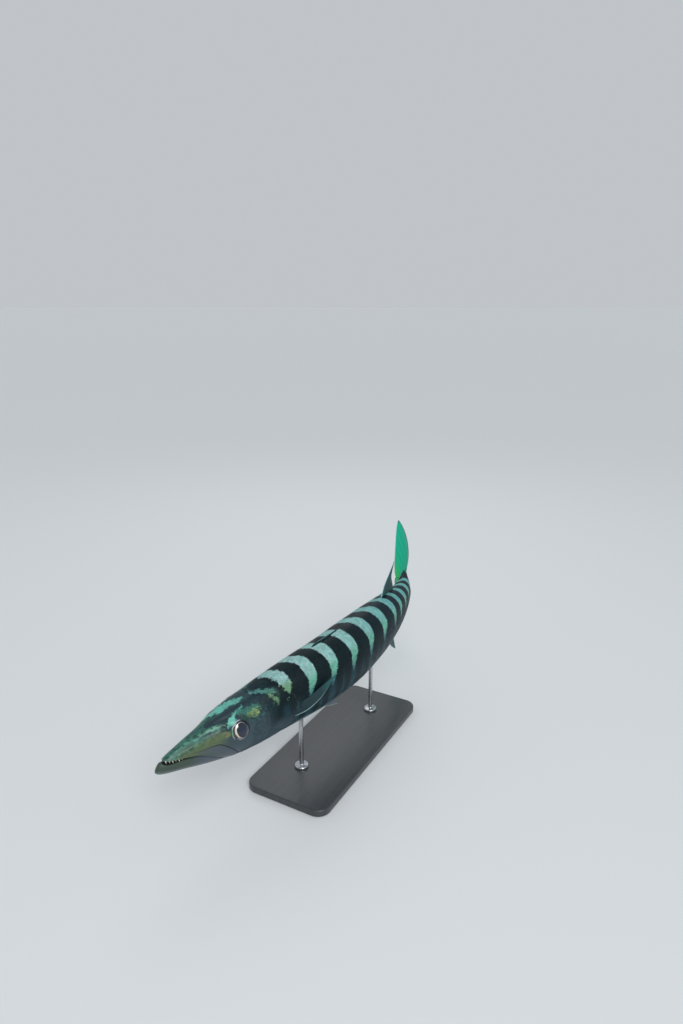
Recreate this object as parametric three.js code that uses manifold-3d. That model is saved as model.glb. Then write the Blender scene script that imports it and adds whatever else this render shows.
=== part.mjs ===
// A pickhandle barracuda one metre long, held on a plain display stand.
// Millimetres, +Z up. The fish is shaped straight first: along runs from the chin towards
// the tail, across points to the fish's right and up to its back. It is parted with thin
// cuts while it is straight, and the parts are then bent along the curve of its swimming pose.
import * as THREE from 'three';
import { mergeVertices } from 'three/addons/utils/BufferGeometryUtils.js';
import Module from 'manifold-3d';

const wasm = await Module();
wasm.setup();

// Driving dimensions of the fish, straight
const bodyLength = 870; // chin to the root of the tail fin
const totalLength = 1000; // chin to the tips of the tail fin
const partGap = 0.3; // clear space between two touching parts
const bodyRows = 50; // rings of the body's mesh
const bodySides = 26; // points round a ring

// Along, back, belly, half width, level of the widest place, roundness above and below it
const bodyStations = [
  [0, -6, -14, 4, -10, 2, 2],
  [14, 5, -20, 9.5, -8, 2.1, 2.1],
  [50, 16, -31, 16.5, -7, 2.2, 2.1],
  [95, 26, -45, 24, -6, 2.3, 2],
  [125, 34.5, -52, 32.5, -5, 2.4, 2],
  [150, 40, -57, 37.5, -4, 2.4, 2],
  [200, 47, -61, 43.5, -3, 2.3, 2],
  [270, 57, -61, 48, 0, 2.2, 2.1],
  [350, 64, -64, 52, 0, 2.1, 2.1],
  [450, 66, -66, 53, 0, 2.1, 2.1],
  [550, 62, -62, 49, 0, 2.1, 2.1],
  [650, 53, -53, 40, 0, 2.1, 2.1],
  [750, 38, -38, 28, 0, 2.1, 2.1],
  [820, 30, -30, 19, 0, 2.1, 2.1],
  [870, 32, -32, 9, 0, 2.1, 2.1],
];

// The pose: the head's heading and tilt, and how hard the body turns at places along it
const pose = {
  headTurn: -16.2, // degrees from +X, seen from above
  headDrop: 4, // degrees that the snout points below level
  lean: 1.75, // degrees that the back leans to the fish's right
  turnPlaces: [250, 380, 520, 660, 800, 920],
  turnRates: [0, 1.6, 0.56, 0.93, 1.83, 2.03], // radians a metre, to the fish's right
  risePlaces: [250, 500],
  riseRates: [0, -0.167], // radians a metre, upwards
};
const chin = [-480.3, 96.25, 176.4]; // the chin's place in the part's frame

// The mouth: its line along the side of the head, and how far it gapes there
const mouthLine = [
  [13.2, 14, 0.5], [14.6, 3.4, 0.6], [24, -0.6, 1.4], [38, -3, 1.4], [50, -5, 1],
  [75, -12.5, 0.5], [90, -21, 0.5], [108, -33, 0.5], [119, -42, 0.5], [132, -62, 0.5],
];
const mouthDepth = 120; // the cut goes right through the head, from side to side
const mouthSteps = 4; // steps of the cut between two rows of its line
const tooth = { radius: 0.9, length: 3.6, first: 21, step: 7.5, count: 4, root: 1.6, behindLip: 1.4 };

// The eye: a flattened ball, narrower along the head than it is high, set into its side
const eye = { along: 152, up: 7, radius: 19.5, narrow: 0.92, depth: 12, inset: 7.5, lookUp: 18, lookAhead: 5 };

// The gill cover: its outline on the side of the head, and how deep it lies in it
const gill = {
  outline: [
    [205, -44], [203, -12], [208, 20], [224, 35], [246, 34], [262, 20], [269, -2],
    [263, -24], [247, -44], [224, -54],
  ],
  middle: [236, -8],
  inner: 14, // across, from the middle of the head to the cover's back
  outer: 90, // across, clear of the head's side
  recess: 1.011, // the recess's outline as a share of the cover's
  points: 28,
};

// Where the snout, the head, the trunk's lengths and the tail stalk part
const snoutEnd = 118;
const bodyCuts = [262, 400, 545, 705];
const tailCut = 866;
const clearWidth = 400; // a cutting box reaches well past the fish
const clearAhead = 20;

// Fins: their thickness at the root and the edge, and how the paired ones stand
const finPlate = { root: 4, edge: 0.9 };
const folded = { root: 4.4, narrowing: 2.8 };
const pectoral = { swing: 15, along: 268, out: 44, down: 10, curl: 0.0006 };
const pelvic = { along: 338, out: 10, level: -56, spread: 0.06, droop: 0.28, tilt: 0.25, root: 3.4 };
const tailFin = {
  cup: 37, cupLead: 0.33, // how far the rays bow across, and how much of that is the leading edge's, to the left
  edge: 1, ray: 1.6, root: 15, rootReach: 0.25, // thickness, and the share of the fin that its root takes
};

// Stand
const stand = {
  baseLength: 430, baseWidth: 180, baseHeight: 14, baseCorner: 26, baseEdge: 2.5, baseAlong: 438,
  rodPlaces: [316, 572], rodRadius: 4.5, rodSides: 16, footRadius: 14, footHeight: 6, footEdge: 2,
  cupRadius: 11, cupHeight: 9, cupFlare: 5, cupRise: 6, cornerSteps: 5,
};

const colours = {
  back: 0x16343a, head: 0x4f7f68, jaw: 0x76857d, cover: 0x33504f, fin: 0x2c4a4c,
  tailFin: 0x1fa87e, eye: 0x101c33, base: 0x2b2d30, rod: 0xb9bcc0,
};

// A smooth curve through the rows of a table, read at one place of its first column
function along(table, column, at) {
  const last = table.length - 1;
  if (at <= table[0][0]) return table[0][column];
  if (at >= table[last][0]) return table[last][column];
  let i = 0;
  while (at > table[i + 1][0]) i += 1;
  const slope = (k) => (table[k + 1][column] - table[k][column]) / (table[k + 1][0] - table[k][0]);
  const knotSlope = (k) => {
    if (k === 0) return slope(0);
    if (k === last) return slope(last - 1);
    const before = slope(k - 1);
    const after = slope(k);
    return before * after <= 0 ? 0 : (2 * before * after) / (before + after);
  };
  const width = table[i + 1][0] - table[i][0];
  const t = (at - table[i][0]) / width;
  const t2 = t * t;
  const t3 = t2 * t;
  return table[i][column] * (2 * t3 - 3 * t2 + 1) + table[i + 1][column] * (3 * t2 - 2 * t3)
    + knotSlope(i) * width * (t3 - 2 * t2 + t) + knotSlope(i + 1) * width * (t3 - t2);
}

// A rate read between its places, straight from one to the next
function rateAt(places, rates, at) {
  const last = places.length - 1;
  if (at <= places[0]) return rates[0];
  if (at >= places[last]) return rates[last];
  let i = 0;
  while (at > places[i + 1]) i += 1;
  const t = (at - places[i]) / (places[i + 1] - places[i]);
  return rates[i] + t * (rates[i + 1] - rates[i]);
}

// The spine: a frame at every millimetre from ahead of the chin to past the tail
const spineStart = -40;
const spineEnd = totalLength + 60;
function makeSpine() {
  const frames = [];
  let turn = THREE.MathUtils.degToRad(pose.headTurn);
  let rise = THREE.MathUtils.degToRad(pose.headDrop);
  const place = new THREE.Vector3();
  const level = new THREE.Vector3(0, 0, 1);
  const lean = THREE.MathUtils.degToRad(pose.lean);
  for (let at = spineStart; at <= spineEnd; at += 1) {
    const back = new THREE.Vector3(
      Math.cos(rise) * Math.cos(turn), Math.cos(rise) * Math.sin(turn), Math.sin(rise));
    const right = level.clone().cross(back).normalize();
    const up = back.clone().cross(right);
    right.applyAxisAngle(back, -lean);
    up.applyAxisAngle(back, -lean);
    frames.push({ place: place.clone(), back, right, up });
    place.add(back);
    turn += rateAt(pose.turnPlaces, pose.turnRates, at + 0.5) / 1000;
    rise += rateAt(pose.risePlaces, pose.riseRates, at + 0.5) / 1000;
  }
  const shift = new THREE.Vector3(...chin).sub(frames[-spineStart].place);
  frames.forEach((frame) => frame.place.add(shift));
  return frames;
}
const spine = makeSpine();

// A point of the straight fish, carried to its place on the bent one
function bendPoint(point) {
  const at = point.x - spineStart;
  const i = Math.floor(at);
  const t = at - i;
  const mixed = (name) => spine[i][name].clone().lerp(spine[i + 1][name], t);
  return mixed('place').addScaledVector(mixed('right'), point.y).addScaledVector(mixed('up'), point.z);
}

// Sections of the body: a point of the ring at a place along, grown outwards by a margin
function sectionPoint(at, angle, radius, grow) {
  const [back, belly, half, wide, above, below] = [1, 2, 3, 4, 5, 6].map((k) => along(bodyStations, k, at));
  const s = Math.sin(angle);
  const c = Math.cos(angle);
  const power = 2 / (c > 0 ? above : below);
  const height = c > 0 ? back - wide : wide - belly;
  const across = Math.sign(s) * Math.abs(s) ** power * (half + grow) * radius;
  const up = wide + Math.sign(c) * Math.abs(c) ** power * (height + grow) * radius;
  return new THREE.Vector3(at, across, up);
}

// How far across the body's surface lies, at a place along and a level
function surfaceAcross(at, up) {
  const [back, belly, half, wide, above, below] = [1, 2, 3, 4, 5, 6].map((k) => along(bodyStations, k, at));
  const share = up > wide ? (up - wide) / (back - wide) : (wide - up) / (wide - belly);
  const power = up > wide ? above : below;
  return half * (1 - Math.min(share, 1) ** power) ** (1 / power);
}

function moveVertices(geometry, mapping) {
  const position = geometry.attributes.position;
  const point = new THREE.Vector3();
  for (let i = 0; i < position.count; i += 1) {
    point.fromBufferAttribute(position, i);
    const moved = mapping(point);
    position.setXYZ(i, moved.x, moved.y, moved.z);
  }
  return geometry;
}

// The whole body, straight: a cylinder's rings drawn out to the sections, closer at the head
function bodyGeometry(grow) {
  const evenShare = 0.55;
  const cylinder = new THREE.CylinderGeometry(1, 1, 1, bodySides, bodyRows);
  return moveVertices(cylinder, (p) => {
    const t = 0.5 - p.y;
    const at = bodyLength * (evenShare * t + (1 - evenShare) * t * t);
    const ringAt = at + (t < 0.001 ? -grow : 0) + (t > 0.999 ? grow : 0);
    return sectionPoint(ringAt, Math.atan2(p.x, p.z), Math.hypot(p.x, p.z), grow);
  });
}

function solidOf(geometry) {
  const bare = geometry.clone();
  bare.deleteAttribute('normal');
  bare.deleteAttribute('uv');
  const merged = mergeVertices(bare, 1e-3);
  const vertProperties = new Float32Array(merged.attributes.position.array);
  const triVerts = new Uint32Array(merged.index.array);
  const solid = new wasm.Manifold(new wasm.Mesh({ numProp: 3, vertProperties, triVerts }));
  if (solid.volume() > 0) return solid;
  // A mirrored shape is turned inside out, so each of its faces is turned round
  for (let i = 0; i < triVerts.length; i += 3) {
    [triVerts[i + 1], triVerts[i + 2]] = [triVerts[i + 2], triVerts[i + 1]];
  }
  return new wasm.Manifold(new wasm.Mesh({ numProp: 3, vertProperties, triVerts }));
}

function geometryOf(solid) {
  const mesh = solid.getMesh();
  const geometry = new THREE.BufferGeometry();
  geometry.setAttribute('position', new THREE.BufferAttribute(new Float32Array(mesh.vertProperties), 3));
  geometry.setIndex(new THREE.BufferAttribute(new Uint32Array(mesh.triVerts), 1));
  return geometry;
}

function box(lengthX, widthY, heightZ, x, y, z) {
  return solidOf(new THREE.BoxGeometry(lengthX, widthY, heightZ).translate(x, y, z));
}

// A side outline, along and up, drawn out across the fish between two depths
function prism(outline, from, to) {
  const shape = new THREE.Shape(outline.map(([x, z]) => new THREE.Vector2(x, z)));
  const geometry = new THREE.ExtrudeGeometry(shape, { depth: to - from, bevelEnabled: false });
  return solidOf(geometry.rotateX(Math.PI / 2).translate(0, to, 0));
}

// The thin cut of the mouth, and on down behind the lower jaw
function mouthCut() {
  const rows = [];
  for (let i = 0; i < (mouthLine.length - 1) * mouthSteps; i += 1) {
    const k = Math.floor(i / mouthSteps);
    const t = (i % mouthSteps) / mouthSteps;
    rows.push(mouthLine[k].map((value, column) => value + t * (mouthLine[k + 1][column] - value)));
  }
  rows.push(mouthLine[mouthLine.length - 1]);
  const upper = [];
  const lower = [];
  rows.forEach(([x, z, gape], i) => {
    const before = rows[Math.max(i - 1, 0)];
    const after = rows[Math.min(i + 1, rows.length - 1)];
    const normal = new THREE.Vector2(before[1] - after[1], after[0] - before[0]).normalize();
    upper.push([x + normal.x * gape, z + normal.y * gape]);
    lower.unshift([x - normal.x * gape, z - normal.y * gape]);
  });
  return prism([...upper, ...lower], -mouthDepth / 2, mouthDepth / 2);
}

// Teeth along the front of the upper jaw, one row on each side
function teeth() {
  let all = null;
  for (const side of [-1, 1]) {
    for (let i = 0; i < tooth.count; i += 1) {
      const at = tooth.first + i * tooth.step;
      const cone = new THREE.ConeGeometry(tooth.radius, tooth.length, 6).rotateX(-Math.PI / 2);
      const lip = along(mouthLine, 1, at) + along(mouthLine, 2, at);
      const half = surfaceAcross(at, lip + tooth.root) - tooth.behindLip;
      const one = solidOf(cone.translate(at, side * half, lip + tooth.root - tooth.length / 2));
      all = all ? all.add(one) : one;
    }
  }
  return all;
}

// An eyeball, or the socket that it sits in when it is grown by a margin
function eyeBall(side, grow) {
  const out = new THREE.Vector3(
    -Math.tan(THREE.MathUtils.degToRad(eye.lookAhead)), side,
    Math.tan(THREE.MathUtils.degToRad(eye.lookUp))).normalize();
  const surface = new THREE.Vector3(eye.along, side * surfaceAcross(eye.along, eye.up), eye.up);
  const centre = surface.addScaledVector(out, -eye.inset);
  const turn = new THREE.Quaternion().setFromUnitVectors(new THREE.Vector3(0, 1, 0), out);
  const ball = new THREE.SphereGeometry(1, 16, 9)
    .scale(eye.radius * eye.narrow + grow, eye.depth + grow, eye.radius + grow)
    .applyQuaternion(turn)
    .translate(centre.x, centre.y, centre.z);
  return solidOf(ball);
}

// The fins: a box's grid laid between a leading and a trailing edge. Each fin gives its
// edges as curves of along and up (or along and across), and a way to set it in place.
function finSolid({ lead, trail, rows, columns, thick, place }) {
  const leadCurve = new THREE.SplineCurve(lead.map(([x, y]) => new THREE.Vector2(x, y)));
  const trailCurve = new THREE.SplineCurve(trail.map(([x, y]) => new THREE.Vector2(x, y)));
  const grid = new THREE.BoxGeometry(1, 1, 1, rows, columns, 1);
  return solidOf(moveVertices(grid, (p) => {
    const u = p.x + 0.5;
    const v = 0.5 - p.y;
    const flat = leadCurve.getPoint(u).lerp(trailCurve.getPoint(u), v);
    return place(flat.x, flat.y, p.z * thick(u, v), u, v);
  }));
}

// Thickness of a fin: thick at its root, thin at its edge
function finThickness(root, edge) {
  return (u, v) => edge + (root - edge) * (1 - u) ** 2 * (1 - 0.5 * v);
}

const upright = (x, z, off) => new THREE.Vector3(x, off, z);

const foldedDorsal = () => finSolid({
  lead: [[356, 58], [362, 66.2], [374, 68.8]],
  trail: [[440, 60], [440, 66.8], [438, 67.8]],
  rows: 4, columns: 8, thick: (u) => folded.root - folded.narrowing * u, place: upright,
});

const softDorsal = () => finSolid({
  lead: [[628, 48], [652, 76], [688, 95], [724, 111]],
  trail: [[716, 34], [708, 62], [703, 83], [724, 110]],
  rows: 10, columns: 5, thick: finThickness(finPlate.root, finPlate.edge), place: upright,
});

const analFin = () => finSolid({
  lead: [[650, -46], [670, -72], [694, -98], [724, -118]],
  trail: [[718, -34], [710, -58], [712, -82], [724, -117]],
  rows: 10, columns: 5, thick: finThickness(finPlate.root, finPlate.edge), place: upright,
});

function pectoralFin(side) {
  const swing = THREE.MathUtils.degToRad(pectoral.swing);
  return finSolid({
    lead: [[0, 8], [30, 15], [62, 27], [92, 37]],
    trail: [[0, -13], [26, -11], [58, 4], [92, 34]],
    rows: 10, columns: 4, thick: finThickness(finPlate.root, finPlate.edge),
    place: (x, z, off) => {
      const out = pectoral.out + x * Math.sin(swing) - pectoral.curl * x * x + off;
      return new THREE.Vector3(pectoral.along + x * Math.cos(swing), side * out, z - pectoral.down);
    },
  });
}

function pelvicFin(side) {
  return finSolid({
    lead: [[0, 0], [18, 5], [38, 9], [60, 10]],
    trail: [[14, -6], [24, -11], [42, -8], [60, 8]],
    rows: 8, columns: 4, thick: finThickness(pelvic.root, finPlate.edge),
    place: (x, y, off) => {
      const out = pelvic.out + y + pelvic.spread * x;
      const level = pelvic.level - pelvic.droop * x - pelvic.tilt * y + off;
      return new THREE.Vector3(pelvic.along + x, side * out, level);
    },
  });
}

function tailLobe(side) {
  const { cup, cupLead, edge, ray, root, rootReach } = tailFin;
  return finSolid({
    lead: [[864, 32], [890, 56], [932, 96], [1000, 130]],
    trail: [[864, 0.2], [906, 0.2], [942, 44], [1000, 128]],
    rows: 14, columns: 6,
    thick: (u, v) => edge + root * Math.max(0, 1 - u / rootReach) ** 2 + ray * (1 - u) * (1 - v),
    place: (x, z, off, u, v) => {
      const bow = cup * Math.sin(Math.PI * u) ** 0.8 * (v ** 1.3 - cupLead);
      return new THREE.Vector3(x, bow + side * off, side * z);
    },
  });
}

// Parting the straight fish
function partFish() {
  const body = solidOf(bodyGeometry(0));
  const margin = solidOf(bodyGeometry(partGap));
  const pieces = {};
  const wide = clearWidth;
  const allAhead = (end) => box(end + clearAhead, wide, wide, (end - clearAhead) / 2, 0, 0);

  // Lengths of the body, from behind the head to the tail stalk
  const ends = [...bodyCuts, tailCut];
  ['trunk_front', 'trunk_middle', 'trunk_rear', 'tail_stalk'].forEach((name, i) => {
    const from = ends[i] + partGap / 2;
    const to = ends[i + 1] - partGap / 2;
    pieces[name] = body.intersect(box(to - from, wide, wide, (from + to) / 2, 0, 0));
  });

  // The head with its jaws, sockets and gill covers
  let head = body.intersect(allAhead(bodyCuts[0] - partGap / 2));
  const ring = new THREE.CatmullRomCurve3(gill.outline.map(([x, z]) => new THREE.Vector3(x, z, 0)), true);
  const cover = ring.getPoints(gill.points).slice(0, -1).map((p) => [p.x, p.y]);
  const recess = cover.map((p) => p.map((value, k) => gill.middle[k] + (value - gill.middle[k]) * gill.recess));
  for (const [name, side] of [['left', -1], ['right', 1]]) {
    const near = side < 0 ? -gill.outer : gill.inner;
    const far = side < 0 ? -gill.inner : gill.outer;
    const slack = side < 0 ? [0, partGap] : [-partGap, 0];
    pieces[`gill_cover_${name}`] = body.intersect(prism(cover, near, far));
    const hollow = prism(recess, near + slack[0], far + slack[1]);
    head = head.subtract(hollow);
    pieces.trunk_front = pieces.trunk_front.subtract(hollow);
    head = head.subtract(eyeBall(side, partGap));
    pieces[`eye_${name}`] = eyeBall(side, 0);
  }
  head = head.subtract(mouthCut());
  const byPlace = head.decompose().sort((a, b) => b.volume() - a.volume());
  const skull = byPlace[0];
  pieces.lower_jaw = byPlace[1];

  // The snout carries the upper jaw and its teeth
  pieces.snout = skull.intersect(allAhead(snoutEnd - partGap / 2)).add(teeth());
  pieces.head = skull.subtract(allAhead(snoutEnd + partGap / 2));

  // Fins, each cut back to stand clear of the body
  const stalkEnd = allAhead(tailCut + partGap / 2);
  const fins = {
    dorsal_fin_first: foldedDorsal(), dorsal_fin_second: softDorsal(), anal_fin: analFin(),
    pectoral_fin_left: pectoralFin(-1), pectoral_fin_right: pectoralFin(1),
    pelvic_fin_left: pelvicFin(-1), pelvic_fin_right: pelvicFin(1),
  };
  for (const [name, fin] of Object.entries(fins)) pieces[name] = fin.subtract(margin);
  for (const [name, side] of [['upper', 1], ['lower', -1]]) {
    const half = box(wide, wide, wide, tailCut, 0, side * (wide + partGap) / 2);
    pieces[`tail_fin_${name}`] = tailLobe(side).subtract(stalkEnd).intersect(half);
  }
  return { pieces, margin };
}

// The stand: a flat base, and rods with a foot and a shallow cup under the belly
function standParts(margin) {
  const { baseLength: length, baseWidth: width, baseCorner: corner, baseEdge: edge } = stand;
  const [x, y] = [length / 2 - edge, width / 2 - edge];
  const outline = new THREE.Shape();
  outline.moveTo(-x + corner, -y).lineTo(x - corner, -y);
  outline.absarc(x - corner, -y + corner, corner, -Math.PI / 2, 0);
  outline.absarc(x - corner, y - corner, corner, 0, Math.PI / 2);
  outline.absarc(-x + corner, y - corner, corner, Math.PI / 2, Math.PI);
  outline.absarc(-x + corner, -y + corner, corner, Math.PI, Math.PI * 1.5);
  const middle = bendPoint(new THREE.Vector3(stand.baseAlong, 0, 0));
  const slab = new THREE.ExtrudeGeometry(outline, {
    depth: stand.baseHeight - 2 * edge, bevelThickness: edge, bevelSize: edge, bevelSegments: 1,
    curveSegments: stand.cornerSteps,
  }).translate(middle.x, middle.y, edge);
  const parts = { stand_base: solidOf(slab) };
  const bentMargin = solidOf(moveVertices(geometryOf(margin), bendPoint));
  stand.rodPlaces.forEach((at, i) => {
    const belly = bendPoint(new THREE.Vector3(at, 0, along(bodyStations, 2, at)));
    const bottom = stand.baseHeight + partGap;
    const foot = bottom + stand.footHeight;
    const cup = belly.z - stand.cupHeight;
    const top = belly.z + stand.cupRise; // up into the belly, which then cuts the cup's hollow
    const profile = [
      [0, bottom], [stand.footRadius, bottom], [stand.footRadius, foot - stand.footEdge],
      [stand.footRadius - stand.footEdge, foot], [stand.rodRadius, foot],
      [stand.rodRadius, cup], [stand.cupRadius, cup + stand.cupFlare], [stand.cupRadius, top], [0, top],
    ].map(([r, z]) => new THREE.Vector2(r, z));
    const rod = new THREE.LatheGeometry(profile, stand.rodSides)
      .rotateX(Math.PI / 2).translate(belly.x, belly.y, 0);
    parts[`stand_rod_${i === 0 ? 'front' : 'rear'}`] = solidOf(rod).subtract(bentMargin);
  });
  return parts;
}

// The finished group
const finishes = {
  snout: ['head', 0.45, 0.1], head: ['head', 0.45, 0.1], lower_jaw: ['jaw', 0.5, 0.1],
  gill_cover_left: ['cover', 0.4, 0.2], gill_cover_right: ['cover', 0.4, 0.2],
  eye_left: ['eye', 0.1, 0], eye_right: ['eye', 0.1, 0],
  tail_fin_upper: ['tailFin', 0.5, 0], tail_fin_lower: ['tailFin', 0.5, 0],
  stand_base: ['base', 0.5, 0], stand_rod_front: ['rod', 0.3, 1], stand_rod_rear: ['rod', 0.3, 1],
};

function namedMesh(name, geometry) {
  const plain = name.includes('fin') ? ['fin', 0.5, 0] : ['back', 0.4, 0.2];
  const [colour, roughness, metalness] = finishes[name] || plain;
  geometry.computeVertexNormals();
  const material = new THREE.MeshStandardMaterial({ color: colours[colour], roughness, metalness });
  const mesh = new THREE.Mesh(geometry, material);
  mesh.name = name;
  return mesh;
}

const { pieces, margin } = partFish();
const fish = new THREE.Group();
for (const [name, solid] of Object.entries(pieces)) {
  fish.add(namedMesh(name, moveVertices(geometryOf(solid), bendPoint)));
}
const standGroup = new THREE.Group();
for (const [name, solid] of Object.entries(standParts(margin))) {
  standGroup.add(namedMesh(name, geometryOf(solid)));
}
const model = new THREE.Group();
model.add(fish, standGroup);

export default model;
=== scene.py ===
import math

import bpy
import numpy as np
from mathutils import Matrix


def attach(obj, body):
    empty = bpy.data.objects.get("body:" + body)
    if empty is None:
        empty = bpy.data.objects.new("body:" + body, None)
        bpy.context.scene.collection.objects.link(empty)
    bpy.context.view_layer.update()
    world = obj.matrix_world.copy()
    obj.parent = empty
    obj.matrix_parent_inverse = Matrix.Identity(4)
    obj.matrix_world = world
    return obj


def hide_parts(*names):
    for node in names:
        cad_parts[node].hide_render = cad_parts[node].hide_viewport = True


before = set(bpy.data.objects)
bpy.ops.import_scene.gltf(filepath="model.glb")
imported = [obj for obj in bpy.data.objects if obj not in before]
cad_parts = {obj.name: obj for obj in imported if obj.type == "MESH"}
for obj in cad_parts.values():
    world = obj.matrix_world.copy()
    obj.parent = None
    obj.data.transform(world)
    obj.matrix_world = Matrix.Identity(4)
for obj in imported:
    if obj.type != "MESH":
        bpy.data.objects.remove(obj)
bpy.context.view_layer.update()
print("frame loaded")


# Numbers and curves that every piece uses

def smooth(value, low, high):
    t = np.clip((value - low) / (high - low), 0, 1)
    return t * t * (3 - 2 * t)


def between(value, start, end):  # fades in over start and out over end
    return smooth(value, *start) * (1 - smooth(value, *end))


def bell(value, width):
    return np.exp(-((value / width) ** 2))


def roundAngles(count):
    return np.linspace(0, 2 * np.pi, count, endpoint=False)


def readTable(table, column, at):  # a smooth curve through the rows, with no overshoot
    rows = np.array(table, float)
    x, y = rows[:, 0], rows[:, column]
    slope = np.diff(y) / np.diff(x)
    before, after = slope[:-1], slope[1:]
    total = before + after
    inner = np.where(before * after <= 0, 0, 2 * before * after / np.where(total == 0, 1, total))
    knot = np.concatenate([slope[:1], inner, slope[-1:]])
    at = np.clip(at, x[0], x[-1])
    i = np.clip(np.searchsorted(x, at, side="right") - 1, 0, len(x) - 2)
    width = x[i + 1] - x[i]
    t = (at - x[i]) / width
    rise = 3 * t**2 - 2 * t**3
    bow = knot[i] * (t**3 - 2 * t**2 + t) + knot[i + 1] * (t**3 - t**2)
    return y[i] * (1 - rise) + y[i + 1] * rise + width * bow


def curveThrough(points, share):  # a curve through its points, share from 0 to 1
    knots = np.array(points, float)
    t = np.clip(np.asarray(share, float), 0, 1) * (len(knots) - 1)
    i = np.minimum(t.astype(int), len(knots) - 1)
    f = (t - i)[..., None]
    p0, p1, p2, p3 = (knots[np.clip(i + k, 0, len(knots) - 1)] for k in (-1, 0, 1, 2))
    m1, m2 = (p2 - p0) / 2, (p3 - p1) / 2
    return (2 * p1 - 2 * p2 + m1 + m2) * f**3 + (3 * p2 - 3 * p1 - 2 * m1 - m2) * f**2 + m1 * f + p1


def lineField(points, x, y, count=70):  # distance from a line, its side, and how far along it
    line = curveThrough(points, np.linspace(0, 1, count))
    best = np.full(x.shape, 1e9)
    side, share = np.zeros(x.shape), np.zeros(x.shape)
    for k in range(count - 1):
        step = line[k + 1] - line[k]
        px, py = x - line[k, 0], y - line[k, 1]
        t = np.clip((px * step[0] + py * step[1]) / (step @ step), 0, 1)
        away = np.hypot(px - t * step[0], py - t * step[1])
        near = away < best
        best = np.where(near, away, best)
        side = np.where(near, np.sign(step[0] * py - step[1] * px), side)
        share = np.where(near, (k + t) / (count - 1), share)
    return best, side, share


# The fish's body and pose, as the frame has them
body = {
    # along, back, belly, half width, level of the widest place, roundness above and below it
    "stations": [
        [0, -6, -14, 4, -10, 2, 2], [14, 5, -20, 9.5, -8, 2.1, 2.1],
        [50, 16, -31, 16.5, -7, 2.2, 2.1], [95, 26, -45, 24, -6, 2.3, 2],
        [125, 34.5, -52, 32.5, -5, 2.4, 2], [150, 40, -57, 37.5, -4, 2.4, 2],
        [200, 47, -61, 43.5, -3, 2.3, 2], [270, 57, -61, 48, 0, 2.2, 2.1],
        [350, 64, -64, 52, 0, 2.1, 2.1], [450, 66, -66, 53, 0, 2.1, 2.1],
        [550, 62, -62, 49, 0, 2.1, 2.1], [650, 53, -53, 40, 0, 2.1, 2.1],
        [750, 38, -38, 28, 0, 2.1, 2.1], [820, 30, -30, 19, 0, 2.1, 2.1],
        [870, 32, -32, 9, 0, 2.1, 2.1],
    ],
    "tailRoot": 866,
}
pose = {
    "headTurn": -16.2, "headDrop": 4, "lean": 1.75,  # degrees
    "turnPlaces": [250, 380, 520, 660, 800, 920],
    "turnRates": [0, 1.6, 0.56, 0.93, 1.83, 2.03],  # radians a metre
    "risePlaces": [250, 500], "riseRates": [0, -0.167],
    "chin": (-480.3, 96.25, 176.4),
    "spineStart": -40, "spineEnd": 1060,
}


def makeSpine():
    at = np.arange(pose["spineStart"], pose["spineEnd"] + 1)

    def swing(start, places, rates):
        turns = np.interp(at[:-1] + 0.5, pose[places], pose[rates]) / 1000
        return math.radians(pose[start]) + np.concatenate([[0], np.cumsum(turns)])

    turn = swing("headTurn", "turnPlaces", "turnRates")
    rise = swing("headDrop", "risePlaces", "riseRates")
    back = np.stack([np.cos(rise) * np.cos(turn), np.cos(rise) * np.sin(turn), np.sin(rise)], 1)
    right = np.cross((0, 0, 1), back)
    right /= np.linalg.norm(right, axis=1, keepdims=True)
    up = np.cross(back, right)
    lean = math.radians(-pose["lean"])
    leaned = right * math.cos(lean) + up * math.sin(lean)
    up = up * math.cos(lean) - right * math.sin(lean)
    place = np.concatenate([np.zeros((1, 3)), np.cumsum(back[:-1], 0)])
    place += np.array(pose["chin"]) - place[-pose["spineStart"]]
    return place, back, leaned, up


spine = makeSpine()


def spineAt(along):
    at = np.clip(np.asarray(along, float) - pose["spineStart"], 0, len(spine[0]) - 1.001)
    i = at.astype(int)
    t = (at - i)[..., None]
    return [part[i] * (1 - t) + part[i + 1] * t for part in spine]


def bend(points):  # straight millimetres to metres in the pose
    place, _, right, up = spineAt(points[..., 0])
    return (place + right * points[..., 1:2] + up * points[..., 2:3]) / 1000


def sectionParts(at):
    return [readTable(body["stations"], k, at) for k in range(1, 7)]


def sectionPoint(at, angle, radius=1.0):  # angle 0 is the back, and it grows to the fish's right
    back, belly, half, wide, above, below = sectionParts(at)
    s, c = np.sin(angle), np.cos(angle)
    power = 2 / np.where(c > 0, above, below)
    height = np.where(c > 0, back - wide, wide - belly)
    across = np.sign(s) * np.abs(s) ** power * half * radius
    up = wide + np.sign(c) * np.abs(c) ** power * height * radius
    return np.stack(np.broadcast_arrays(at, across, up), -1)


def levelAngle(at, level):  # the angle at which a section's side reaches a level
    back, belly, half, wide, above, below = sectionParts(at)
    over = level > wide
    height = np.where(over, back - wide, wide - belly)
    share = np.clip(np.abs(level - wide) / height, 0, 0.995)
    lift = share ** (np.where(over, above, below) / 2)
    return np.arccos(np.where(over, lift, -lift))


def surfaceNormal(at, angle):
    ahead, behind = sectionPoint(at - 0.8, angle), sectionPoint(at + 0.8, angle)
    left, right = sectionPoint(at, angle - 0.01), sectionPoint(at, angle + 0.01)
    normal = np.cross(behind - ahead, right - left)
    return normal / np.maximum(np.linalg.norm(normal, axis=-1, keepdims=True), 1e-9)


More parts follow.
